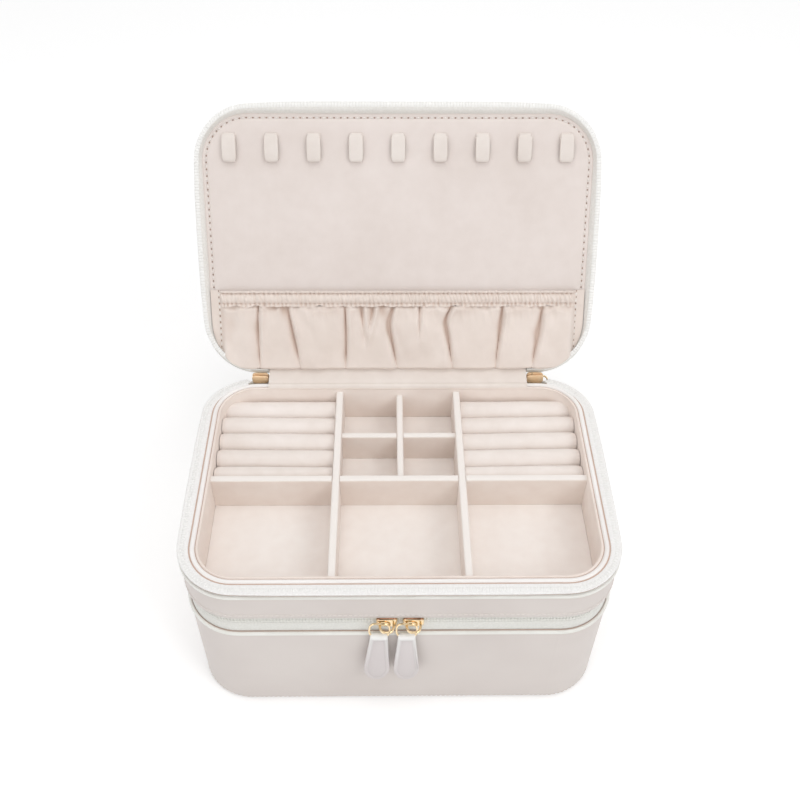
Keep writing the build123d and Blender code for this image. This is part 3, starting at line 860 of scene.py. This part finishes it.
# Each step in mm: side, front, back, the rise over the deck, and the pull at the corners.
lid_steps = [
    (side / 1000, front / 1000, back / 1000, lid_deck + rise / 1000, pull / 1000)
    for side, front, back, rise, pull in (
        (3.2, 2.4, 2.7, 3.6, 0), (2.7, 1.7, 2.5, 2.4, 0), (2.0, 1.0, 2.4, 1.2, 0.2),
        (1.2, 0, 2.3, 0.5, 0.6), (0.6, -0.9, 2.2, 0.1, 1.0), (0.1, -1.4, 2.1, 0, 1.2),
        (-1.2, -3.4, 0.9, 0, 2.0), (-1.8, -3.9, 0.4, 0.2, 2.2), (-2.0, -4.1, 0.2, 0.6, 2.2),
        (-1.7, -3.7, 0.5, 1.2, 2.0), (-0.8, -2.6, 1.0, 1.8, 1.2), (0.7, -0.2, 1.4, 3.6, 0),
    )
]
lid_tape = band("lid_tape", lid_steps, lid_tape_ivory, gap=hinge_end)
# Between the sliders and the hinge strip the tape is cut back, level with the strip.
for vert in lid_tape.data.vertices:
    if abs(vert.co.x) < slider_end and vert.co.y > 0:
        vert.co.y = min(vert.co.y, lid_tape_back)
on_lid(lid_tape, "zip_tape", "lid_zip_tape")
lid_coil = row_round(
    "lid_coil", (-0.0004, -0.0026, 0.0015, lid_deck), tooth_pitch, lid_tooth, lid_nylon,
    gap=slider_end, pull=0.0017,
)
on_lid(lid_coil, "zip_coil", "lid_zip_coil")


# ---------------------------------------------------------------- necklace loops
# Nine flat straps of folded suede are sewn to the panel at their upper ends. Each comes forward
# over the fold and turns back under itself, so a chain can hang in it.

strap_suede = suede_finish("strap_suede", tint(222, 212, 205), tint(231, 223, 217), relief=0.2)
loop_count = 9
loop_width = 0.0083
loop_end_inset = 0.0192
loop_near = -case_depth / 2 + 0.0126
loop_far = loop_near + 0.0164
# A strap's side outline in mm, from its near end back and from the panel's face down.
loop_outline = (
    (0.2, 0), (0, 1.0), (1.2, 2.5), (3.4, 3.2), (14.2, 3.4), (15.8, 2.9), (16.4, 1.9),
    (16.0, 0.8), (14.8, 0.4), (13.8, 0.9), (15.0, 1.7), (13.8, 2.3), (3.8, 2.1), (2.4, 1.4),
    (1.8, 0),
)


def necklace_loop(bm, x):
    """One strap: its outline drawn out to its width, narrower at its ends, with soft edges. x is
    its middle."""
    verts = [
        bm.verts.new((x - loop_width / 2, loop_near + run / 1000, panel_face - drop / 1000))
        for run, drop in loop_outline
    ]
    grown = bmesh.ops.extrude_face_region(bm, geom=[bm.faces.new(verts)])["geom"]
    moved = only(bmesh.types.BMVert, grown)
    bmesh.ops.translate(bm, vec=(loop_width, 0, 0), verts=moved)
    verts += moved
    for vert in verts:
        if not loop_near + 0.0014 <= vert.co.y <= loop_far - 0.0010:
            vert.co.x -= math.copysign(0.0008, vert.co.x - x)
    rims = {edge for vert in verts for edge in vert.link_edges}
    rims = [edge for edge in rims if abs(edge.verts[0].co.x - edge.verts[1].co.x) < 0.001]
    bevelled(bm, rims, 0.0004, 2)


def necklace_row():
    """The straps at even distances, rounded a little more by a subdivided surface."""
    bm = bmesh.new()
    span = case_width - 2 * loop_end_inset
    for index in range(loop_count):
        necklace_loop(bm, index * span / (loop_count - 1) - span / 2)
    bmesh.ops.recalc_face_normals(bm, faces=bm.faces)
    piece = finished("necklace_straps", bm, strap_suede)
    smooth = piece.modifiers.new("soften", "SUBSURF")
    smooth.levels = 1
    smooth.render_levels = 1
    return piece


on_lid(necklace_row(), "strap", "necklace_loops")


# ---------------------------------------------------------------- gathered pocket
# A pocket of soft cloth is sewn to the panel along its bottom and sides, and gathered along its
# mouth by an elastic. The fullness falls in a few deep creases with smooth bellies between them.

pocket_half = case_width / 2 - 0.0034
pocket_bottom = case_depth / 2 - 0.0028
pocket_reach = 0.0388
pocket_top = pocket_bottom - pocket_reach
corner_end = pocket_bottom + 0.0012
flat_hem, full_cloth = 4.2, 8.6
# Each crease: its line as (rise, x in mm) from the mouth down, its depth in mm, how far its left
# and right sides run out in mm, and the rise below which it fades.
creases = (
    (((1.00, -83.3), (0.64, -84.0), (0.35, -84.1), (0.00, -83.7)), 3.6, 3.0, 0.7, 0.00),
    (((1.00, -66.2), (0.73, -64.1), (0.48, -62.4), (0.00, -58.9)), 3.6, 3.2, 0.8, 0.00),
    (((1.00, -31.6), (0.56, -31.0), (0.31, -31.2), (0.00, -32.0)), 3.6, 2.4, 0.7, 0.00),
    (((1.00, -22.3), (0.70, -21.2), (0.47, -20.5), (0.00, -20.0)), 1.8, 1.2, 1.6, 0.42),
    (((1.00, -14.6), (0.70, -17.2), (0.41, -20.2), (0.00, -23.0)), 1.5, 1.8, 1.2, 0.36),
    (((1.00, -2.9), (0.69, -6.3), (0.34, -3.0), (0.00, -0.2)), 4.2, 1.3, 2.0, 0.00),
    (((1.00, 12.8), (0.74, 12.9), (0.55, 12.5), (0.00, 12.0)), 2.6, 1.3, 1.3, 0.50),
    (((1.00, 32.8), (0.81, 27.9), (0.54, 29.9), (0.00, 33.6)), 4.2, 1.6, 1.3, 0.00),
    (((1.00, 63.0), (0.81, 62.4), (0.50, 61.3), (0.00, 59.3)), 4.2, 2.8, 0.8, 0.00),
    (((1.00, 86.8), (0.72, 85.8), (0.40, 84.2), (0.00, 81.5)), 3.8, 2.4, 0.9, 0.00),
)


def mark(tree, name):
    """A value that is stored on a piece's points."""
    node = add(tree, "Attribute")
    node.attribute_name = name
    return node.outputs["Fac"]


def cloth_finish():
    """Soft cloth: fine nap, faint clouds and a light sheen, with brown shade painted into the
    creases and in patches under the gathers at the mouth."""
    made, tree = new_material("pocket_cloth")
    nap = add(tree, "Group", brushed_nap, Fibre_Scale=3200.0)
    mask = spread(tree, nap.outputs["Clouds"])
    colour = blend_colours(tree, mask, tint(223, 210, 201), tint(233, 221, 213))
    # Painted shade: brown in the creases and under the gathers.
    crease_shade_share = maths(tree, "MULTIPLY", mark(tree, "crease_shade"), 0.6)
    colour = blend_colours(tree, crease_shade_share, colour, tint(188, 160, 143))
    height = nap.outputs["Height"]
    return complete(made, colour, bump=(height, 0.12, 0.0001), Roughness=0.75, Sheen_Weight=0.2)


gathered_cloth = cloth_finish()


def crease_line(points, rise):
    """Where a crease lies at a rise, as a smooth line through its points."""
    total = 0.0
    for step in range(-2, 3):
        at = min(1.0, max(0.0, rise + 0.05 * step))
        for (high, x_high), (low, x_low) in zip(points, points[1:]):
            if low <= at <= high:
                total += x_low + (x_high - x_low) * (at - low) / (high - low)
                break
    return total / 5


def ease(value, low, high):
    """A smooth step from 0 at low to 1 at high."""
    share = min(1.0, max(0.0, (value - low) / (high - low)))
    return share * share * (3 - 2 * share)


def sway(*place):
    """Slow unevenness between about -0.5 and 0.5."""
    return noise.noise(Vector(place))


def cloth_stand(x, rise):
    """How far the cloth stands off the panel, in mm. x is in mm, and rise is 0 at the bottom
    seam and 1 at the mouth."""
    stand = 4.3 * ease(rise, -0.015, 0.07) * (1 - 0.22 * ease(rise, 0.4, 0.95))
    stand += 2.8 * sway(x * 0.045, rise * 1.6, 4.0) * ease(rise, 0.0, 0.3)
    stand += 1.2 * sway(x * 0.11 + rise * 1.4, rise * 2.4, 8.0)
    stand += 1.6 * sway(x * 0.30 + rise * 1.1, rise * 1.4, 2.0) * ease(rise, 0.55, 1.0) ** 2
    for points, depth, left, right, fade in creases:
        away = x - crease_line(points, rise)
        share = 1.0 if fade == 0.0 else ease(rise, fade - 0.12, fade + 0.25)
        share *= 0.35 + 0.65 * ease(rise, 0.0, 0.3)
        run = (left if away < 0 else right) * (0.85 - 0.35 * ease(rise, 0.55, 0.95))
        stand -= depth * share * math.exp(-abs(away) / run)
        ridge = 1.6 if away > 2.4 else 1.3
        stand += 1.5 * share * ease(rise, 0.1, 0.8) * math.exp(-(((away - 2.4) / ridge) ** 2))
    mouth = 0.985 - 0.10 * abs(sway(x * 0.085, 3.0, 6.0))
    stand *= 1 - 0.5 * ease(rise, mouth - 0.04, mouth + 0.03)
    return max(0.5, min(5.9, stand))


def sewn_edge(x):
    """Flattens the cloth towards its side seams. x is in mm."""
    return ease(pocket_half * 1000 - abs(x), flat_hem, full_cloth)


def round_corner(vert):
    """Keeps the cloth inside the panel's rounded corners."""
    start = Vector((math.copysign(flat_x, vert.co.x), flat_y))
    over_x = (abs(vert.co.x) - flat_x) / (pocket_half - flat_x)
    over_y = (vert.co.y - flat_y) / (corner_end - flat_y)
    reach = math.hypot(over_x, over_y)
    if over_x > 0 and over_y > 0 and reach > 1:
        vert.co.xy = start + (vert.co.xy - start) / reach


def cloth_grid(name, columns, rows, place, deep, gather_shade=0.0):
    """A sheet of cloth, each of whose points is put in its place from (x in mm, rise). Shade is
    painted where it stands off the panel by less than deep, in mm, and in patches under the
    gathers at the mouth."""
    bm = bmesh.new()
    bmesh.ops.create_grid(bm, x_segments=columns, y_segments=rows, size=0.5)
    crease_shade_layer = bm.verts.layers.float.new("crease_shade")
    for vert in bm.verts:
        rise = 0.5 - vert.co.y
        vert.co = place(vert.co.x * 2000 * pocket_half, rise)
        stand = (panel_face - vert.co.z) * 1000
        # Painted shade in patches under the gathers at the mouth.
        gather_shade_share = gather_shade * max(0, sway(vert.co.x * 62, 0.0, 27.0) + 0.35) * ease(rise, 0.78, 1.0)
        vert[crease_shade_layer] = (1 - ease(stand, 0.8, deep) + gather_shade_share) * sewn_edge(vert.co.x * 1000)
        round_corner(vert)
    face_down(bm)
    return finished(name, bm, gathered_cloth)


def skirt_place(x, rise):
    """A point of the cloth. Its foot is a soft roll that hangs a little below the seam."""
    stand = 0.4 + (cloth_stand(x, rise) - 0.4) * sewn_edge(x)
    roll = 0.0016 * ease(rise, 0.0, 0.035) * (1 - ease(rise, 0.04, 0.4)) * sewn_edge(x)
    y = pocket_bottom - rise * pocket_reach + roll
    return Vector((x / 1000, y, panel_face - stand / 1000))


def press_flat(piece):
    """Gives a soft piece a mesh of its own."""
    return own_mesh(piece)


skirt = cloth_grid("pocket", 420, 62, skirt_place, 2.9, gather_shade=0.5)
on_lid(skirt, "gathered_cloth", "pocket_cloth")
press_flat(skirt)


# ---------------------------------------------------------------- pocket casing
# The pocket's mouth is turned over an elastic and sewn down twice, which makes a puckered tube
# with a narrow frill above it.

casing_foot = pocket_top + 0.0002
casing_height = 0.0097
upper_seam = 0.79
lower_seam = 0.19


def casing_place(x, rise):
    """A point of the casing. Rise is 0 at its foot and 1 at the edge of its frill."""
    coarse = 1 - ease(x, -20.0, 30.0)
    across = min(1.0, max(0.0, (rise - lower_seam) / (upper_seam - lower_seam)))
    tube = math.sin(math.pi * across) ** 0.6
    frill = ease(rise, upper_seam, 0.90)
    foot = 1 - ease(rise, 0.0, lower_seam)
    slant = x + (2.2 - 1.2 * coarse) * rise + 1.3 * sway(x * 0.21, rise * 0.8, 1.0)
    wide = 1 - 2.2 * abs(sway(slant * 0.22, rise * 0.4, 3.0))
    fine = math.sin(slant * 2.75 + 2.4 * sway(x * 0.16, rise, 5.0))
    puckers = (0.25 + 0.75 * coarse) * wide + (0.20 + 0.22 * (1 - coarse)) * fine
    pinch = math.sin(x * 2.3 + 3.0 * sway(x * 0.10, 0.0, 15.0))
    stand = 1.4 + 1.5 * tube + 0.9 * foot + 1.15 * puckers * (0.3 + 0.7 * tube) + 1.9 * frill
    stand += 0.40 * pinch * (1 - tube) * (1 - 0.6 * frill)
    stand += foot * 0.9 * sway(x * 0.30, 9.0, 0.0)
    wave = frill * 0.25 * sway(x * 0.45, 7.0, 0.0) + foot * 1.1 * sway(x * 0.16, 19.0, 0.0)
    stand = 0.5 + (max(0.6, min(4.4, stand)) - 0.5) * sewn_edge(x)
    y = casing_foot - rise * casing_height - wave / 1000
    return Vector((x / 1000, y, panel_face - stand / 1000))


casing = cloth_grid("pocket_casing", 900, 26, casing_place, 2.4)
on_lid(casing, "gathered_cloth", "pocket_elastic")
press_flat(casing)

# The panel's stitches go on down both sides, through the pocket's edge.
side_line = 0.1066
side_count = 11
for name, size, shift, thread in (
    ("pocket_side_holes", panel_hole, 0.0010, brown_thread),
    ("pocket_side_thread", panel_bead, 0.0029, pale_thread),
):
    bm = bmesh.new()
    for step in range(side_count):
        for x in (-side_line, side_line):
            place = (x, pocket_line + shift + step * panel_pitch, panel_face - 0.0006)
            add_block(bm, place, math.pi / 2, size)
    on_lid(finished(name, bm, thread), "gathered_cloth")


# ---------------------------------------------------------------- hinge cloths
# Strips of the lining cloth join the tiers at the back. The lid's strip runs from the tray's lip
# up behind the pocket; outside, leather strips close the two gaps.

hinge_columns = 24


def hinge_cloth(name, half, points, material, thickness=0.0005):
    """A strip with a side outline of (y, z) points, drawn out along X."""
    bm = bmesh.new()
    verts = [bm.verts.new((-half, y, z)) for y, z in points]
    edges = [bm.edges.new(pair) for pair in zip(verts, verts[1:])]
    for _ in range(hinge_columns):
        edges = draw_out(bm, edges, (2 * half / hinge_columns, 0, 0))
    bmesh.ops.subdivide_edges(bm, edges=bm.edges[:], cuts=1, use_grid_fill=True, smooth=0.6)
    bmesh.ops.recalc_face_normals(bm, faces=bm.faces)
    bmesh.ops.solidify(bm, geom=bm.faces[:], thickness=thickness)
    bmesh.ops.recalc_face_normals(bm, faces=bm.faces)
    return finished(name, bm, material)


def outline(y, z, *pairs):
    """Points of an outline, from pairs in mm to (y, z)."""
    return [(y + back / 1000, z + rise / 1000) for back, rise in pairs]


hinge_half = hinge_end - 0.0002
case_back = case_depth / 2
lip_back = case_back - frame_inner
strip_suede = suede_finish("strip_suede", tint(223, 212, 204), tint(232, 223, 216), relief=0.2)
panel_edge = lid_open @ Vector((0, case_back - panel_back - 0.0004, panel_face - 0.0004))
lid_points = outline(
    lip_back, lip_top, (0.2, -0.4), (1.0, 0.8), (2.4, 1.3), (3.2, 0.9), (4.4, 1.2), (6.6, 1.6),
    (9.4, 2.2), (12.0, 3.4),
)
lid_cloth = hinge_cloth("lid_hinge_cloth", hinge_half, [*lid_points, panel_edge.yz], strip_suede)
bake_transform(lid_cloth)
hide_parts("lid_hinge_strip", "lid_hinge_leaf")

lid_seat = lid_open @ Vector((0, case_back - 0.0006, lid_cord_z))
back_points = outline(case_back, tray_top, (-0.7, -1.0), (-0.2, 1.8), (0.5, 3.6))
back_cloth = hinge_cloth(
    "back_hinge_cloth", hinge_half, [*back_points, lid_seat.yz], cover_leather
)
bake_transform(back_cloth)

middle_points = (
    outline(case_back, base_top, (-1.2, -1.2), (-1.4, 4.0)) + outline(case_back, seam, (-1.4, 0))
    + outline(case_back, tray_foot, (-1.4, -2.0), (-0.8, 0.8))
)
middle_cloth = hinge_cloth("middle_hinge_cloth", hinge_end, middle_points, cover_leather)
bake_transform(middle_cloth)
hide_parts("hinge_strip_lower", "hinge_strip_upper")


# ---------------------------------------------------------------- sliders and pull rings
# Die-cast sliders and bent-wire rings, plated a pale rose gold and polished. Their edges are
# rounded by tumbling before they are plated.

crown_reach = -case_depth / 2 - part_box("slider_left")[0].y - 0.0010
crown_half = 0.0044
crown_wire = 0.00072
crown_drop = 0.0009
face_clearance = 0.00003
dome_height = 0.0038
dome_press = 0.70
ring_wire = 0.0006
pull_tilt = math.radians(5)


def painted_reflection_mask(tree, front):
    """A mask of the faces that look up behind a plane across Y, where a reflection is painted."""
    place = add(tree, "TexCoord").outputs["Object"]
    y = add(tree, "SeparateXYZ", Vector=place).outputs["Y"]
    return maths(tree, "MULTIPLY", maths(tree, "GREATER_THAN", y, front), facing_up(tree))


def gold_finish(name, dark, light, metallic, roughness, top=None, front=0.0):
    """Plated gold between two colours. If a top colour is given, it is painted on top of the
    plates as a darker reflection.
    """
    made, tree = new_material(name)
    colour = blend_colours(tree, spread(tree, cloudy(tree, 500.0, 3.0)), dark, light)
    if top:
        colour = blend_colours(tree, painted_reflection_mask(tree, front), colour, top)
    gloss = spread(tree, cloudy(tree, 260.0, 3.0), roughness, roughness + 0.08)
    return complete(made, colour, Metallic=metallic, Roughness=gloss)


rose_gold = gold_finish("rose_gold", tint(233, 207, 166), tint(244, 223, 186), 1.0, 0.08)
# The brown on the tops of the front sliders' plates is a painted reflection.
cast_gold = gold_finish(
    "cast_gold", tint(233, 207, 166), tint(244, 223, 186), 1.0, 0.08, top=tint(181, 137, 108),
    front=-case_depth / 2 - 0.0010,
)
satin_gold = gold_finish("satin_gold", tint(243, 208, 166), tint(249, 219, 181), 0.25, 0.26)


def copy_cut(node, flat_deg):
    """A copy of a cut CAD piece, whose flat faces are whole again."""
    bm = bmesh.new()
    bm.from_mesh(frame["nodes"][node].data)
    bmesh.ops.remove_doubles(bm, verts=bm.verts, dist=1e-6)
    bmesh.ops.dissolve_limit(
        bm, angle_limit=math.radians(flat_deg), verts=bm.verts, edges=bm.edges
    )
    return bm


def sharp_edges(bm, angle):
    """The edges between two faces that meet at more than an angle."""
    return [e for e in bm.edges if len(e.link_faces) == 2 and e.calc_face_angle() > angle]


def split_large(bm):
    """Cuts a bevelled piece's large faces into triangles."""
    bmesh.ops.triangulate(bm, faces=[face for face in bm.faces if len(face.verts) > 4])


def bend_wire(bm, half, wire, stand, axis, angle, steps, use_merge=False):
    """Draws a round wire along an arc about the origin, half away from it."""
    section = bmesh.ops.create_circle(
        bm, segments=12, radius=wire, matrix=Matrix.Translation((half, 0, 0)) @ stand,
    )["verts"]
    edges = list({edge for vert in section for edge in vert.link_edges})
    bmesh.ops.spin(
        bm, geom=edges, cent=(0, 0, 0), axis=axis, dvec=(0, 0, 0), angle=angle, steps=steps,
        use_merge=use_merge,
    )


def square_up(flat, across, half, reach, power):
    """The shift that brings a point of a round bow to one with squarer corners. flat is its
    direction, and across is that direction's part along reach."""
    bent = (abs(flat.x / half) ** power + abs(across / reach) ** power) ** (-1 / power)
    return flat * (bent - half)


def cast_slider(node, name, body, facing, level):
    """A slider: its two plates with rounded edges, and an oval bow for the ring outside them.
    facing is the sign of the plates' outward direction along Y, and level is the bow's height."""
    low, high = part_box(node)
    bm = copy_cut(node, 1)
    tip = low.y if facing < 0 else high.y
    face_y = tip - facing * (crown_reach + face_clearance)
    bmesh.ops.bisect_plane(
        bm, geom=bm.verts[:] + bm.edges[:] + bm.faces[:], dist=1e-7, plane_co=(0, face_y, 0),
        plane_no=(0, facing, 0), clear_outer=True,
    )
    bmesh.ops.holes_fill(bm, edges=bm.edges, sides=0)
    for radius, outer in ((0.0010, True), (0.0003, False)):
        chosen = [
            edge for edge in sharp_edges(bm, 0.8)
            if (sum(abs(vert.co.y - face_y) for vert in edge.verts) < 1e-5) == outer
        ]
        bevelled(bm, chosen, radius, 4, clamp_overlap=True)
    split_large(bm)
    shoulder = high.z - dome_height
    for vert in bm.verts:
        if body == "tray" and vert.co.z > shoulder:
            vert.co.z = shoulder + (vert.co.z - shoulder) * dome_press
    half = crown_half - crown_wire
    reach = crown_reach - crown_wire
    middle = Vector(((low.x + high.x) / 2, face_y, level))
    upright = Matrix.Rotation(math.pi / 2, 4, "X")
    bend_wire(bm, half, crown_wire, upright, (0, 0, 1), facing * math.pi, 24)
    for vert in bm.verts:
        if vert.co.xy.length < half * 1.3 and abs(vert.co.z) < crown_wire * 1.1:
            flat = vert.co.xy.normalized().to_3d()
            vert.co += square_up(flat, flat.y, half, reach, 2.8) + middle
    bmesh.ops.recalc_face_normals(bm, faces=bm.faces)
    piece = finished(name, bm, satin_gold if body == "tray" else cast_gold)
    return fix(piece, body, "gold", node)


def wire_ring(node, name, body, lean):
    """A bent wire ring: nearly square with well rounded corners."""
    low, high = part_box(node)
    stretch = 2 * (math.cos(lean) + math.sin(abs(lean)))
    half = (high.x - low.x) / stretch - ring_wire
    tall = (high.z - low.z) / stretch - ring_wire
    power, tilt = (2.3, pull_tilt) if body.startswith("top") else (3.2, -pull_tilt)
    bm = bmesh.new()
    bend_wire(bm, half, ring_wire, Matrix(), (0, 1, 0), 2 * math.pi, 56, use_merge=True)
    for vert in bm.verts:
        flat = Vector((vert.co.x, 0, vert.co.z)).normalized()
        vert.co += square_up(flat, flat.z, half, tall, power)
    turn = Matrix.Rotation(tilt, 4, "X") @ Matrix.Rotation(lean, 4, "Y")
    bm.transform(Matrix.Translation((low + high) / 2) @ turn)
    bmesh.ops.recalc_face_normals(bm, faces=bm.faces)
    return fix(finished(name, bm, rose_gold), body, "gold", node)


front_level, top_level = [
    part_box(ring)[1].z - 2 * ring_wire - crown_drop
    for ring in ("pull_ring_right", "top_pull_ring_right")
]
for side, lean in (("left", math.radians(3)), ("right", 0.0)):
    body = f"front_slider_{side}"
    cast_slider(f"slider_{side}", f"cast_slider_{side}", body, -1, front_level)
    cast_slider(f"top_slider_{side}", f"cast_top_slider_{side}", "tray", 1, top_level)
    wire_ring(f"pull_ring_{side}", f"wire_ring_{side}", f"front_pull_{side}", lean)
    wire_ring(f"top_pull_ring_{side}", f"wire_top_ring_{side}", f"top_pull_{side}", 0.0)


# ---------------------------------------------------------------- pull tabs
# Each tab is a strip of the cover leather folded over the ring and sewn to itself. It is narrow
# at the fold, widens like a drop, and has a pressed line just inside its edge.

tab_leather = leather_finish(
    "tab_leather", tint(209, 201, 200), tint(217, 210, 209), 0.34, grain=1100.0
)
tab_tree = tab_leather.node_tree
tab_colour = tab_tree.nodes["Principled BSDF"].inputs["Base Color"].links[0].from_socket
# Painted highlight: the fold over the ring is paler.
fold_highlight_colour = blend_colours(tab_tree, mark(tab_tree, "fold_highlight"), tab_colour, tint(244, 243, 241))
complete(tab_leather, fold_highlight_colour)


def pressed_tab(node, body, facing):
    """A copy of a cut tab with rounded edges and a pressed line on its face. facing is the sign
    of the face's direction along Y. The fold over the ring is painted paler as a highlight."""
    bm = copy_cut(node, 2)
    bevelled(bm, sharp_edges(bm, 0.9), 0.0003, 2, clamp_overlap=True)
    bm.normal_update()
    face = max(bm.faces, key=lambda f: f.calc_area() * f.normal.y * facing)
    for thickness, depth in ((0.0011, 0.0), (0.0003, -0.00022), (0.0003, 0.00022)):
        bmesh.ops.inset_region(
            bm, faces=[face], thickness=thickness, depth=depth, use_boundary=True,
            use_even_offset=True,
        )
    split_large(bm)
    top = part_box(node)[1].z
    fold_highlight_layer = bm.verts.layers.float.new("fold_highlight")
    for vert in bm.verts:
        vert[fold_highlight_layer] = ease(vert.co.z, top - 0.0048, top - 0.0026)
    return fix(finished(node + "_pressed", bm, tab_leather), body, "tab_leather", node)


for side in ("left", "right"):
    pressed_tab(f"pull_tab_{side}", f"front_pull_{side}", -1)
    pressed_tab(f"top_pull_tab_{side}", f"top_pull_{side}", 1)


# ---------------------------------------------------------------- floor, light and camera
# A plain white sweep to stand on, and broad soft lamps in a tent of white cloth. The camera is
# above the front of the case and looks down into the open tray.

pure_white = (1, 1, 1, 1)


def floor_finish():
    """Pale floor that looks white to the camera and still takes the case's shadow. The light it
    throws back on the case is a little less than a white floor's."""
    made, tree = new_material("studio_floor")
    path = add(tree, "LightPath")
    direct = maths(tree, "MAXIMUM", path.outputs["Is Camera Ray"], path.outputs["Is Glossy Ray"])
    colour = blend_colours(tree, direct, (0.82, 0.82, 0.82, 1), pure_white)
    return complete(
        made, colour, Emission_Color=pure_white, Roughness=0.9, Specular_IOR_Level=0.1,
        Emission_Strength=maths(tree, "MULTIPLY", direct, 0.13),
    )


bm = bmesh.new()
bmesh.ops.create_grid(bm, x_segments=1, y_segments=1, size=4)
floor = finished("studio_floor", bm, floor_finish())


def studio_world():
    """A tent of white cloth, with a dim opening for the camera that polished metal mirrors."""
    world = bpy.data.worlds.new("studio")
    bpy.context.scene.world = world
    world.use_nodes = True
    tree = world.node_tree
    place = add(tree, "TexCoord").outputs["Generated"]
    height = add(tree, "SeparateXYZ", Vector=place).outputs["Z"]
    tent = add(tree, "MapRange", Value=height, To_Min=0.71, To_Max=0.76)
    opening = add(tree, "VectorMath")
    opening.operation = "DOT_PRODUCT"
    feed(tree, opening.inputs[0], place)
    feed(tree, opening.inputs[1], Vector((0.0, -0.6, 0.8)).normalized())
    mirrored = add(
        tree, "MapRange", Value=opening.outputs["Value"], From_Min=0.72, From_Max=0.90,
        To_Min=1.1, To_Max=0.06,
    )
    mirrored.interpolation_type = "SMOOTHSTEP"
    path = add(tree, "LightPath")
    polished = add(
        tree, "Mix", Factor=path.outputs["Is Glossy Ray"], A=tent.outputs["Result"],
        B=mirrored.outputs["Result"],
    )
    strength = add(
        tree, "Mix", Factor=path.outputs["Is Camera Ray"], A=polished.outputs["Result"], B=1.0
    )
    background = tree.nodes["Background"]
    feed(tree, background.inputs["Strength"], strength.outputs["Result"])
    feed(tree, background.inputs["Color"], pure_white)


studio_world()

for name, place, aim, size, power in (
    ("key_softbox", (0.8, -0.75, 1.1), (0, 0, 0.1), (0.6, 0.6), 4.0),
    ("front_softbox", (-0.9, -1.3, 0.55), (0, 0, 0.06), (0.9, 0.6), 2.1),
    ("overhead_softbox", (-0.05, -0.1, 1.4), (0, 0.02, 0.1), (0.6, 0.6), 3.0),
):
    light = bpy.data.lights.new(name, "AREA")
    light.shape = "RECTANGLE"
    light.size, light.size_y = size
    light.energy = power
    lamp = bpy.data.objects.new(name, light)
    bpy.context.scene.collection.objects.link(lamp)
    lamp.location = place
    lamp.rotation_euler = (Vector(aim) - Vector(place)).to_track_quat("-Z", "Y").to_euler()

camera = bpy.data.cameras.new("camera")
camera.lens = 42.17
camera.sensor_width = 36
viewer = bpy.data.objects.new("camera", camera)
bpy.context.scene.collection.objects.link(viewer)
viewer.matrix_world = (
    Matrix.Translation((-0.0059, -0.3348, 0.5139)) @ Matrix.Rotation(math.radians(-1.02), 4, "Z")
    @ Matrix.Rotation(math.radians(44.27), 4, "X") @ Matrix.Rotation(math.radians(0.60), 4, "Z")
)
bpy.context.scene.camera = viewer
bpy.context.scene.view_settings.view_transform = "Standard"
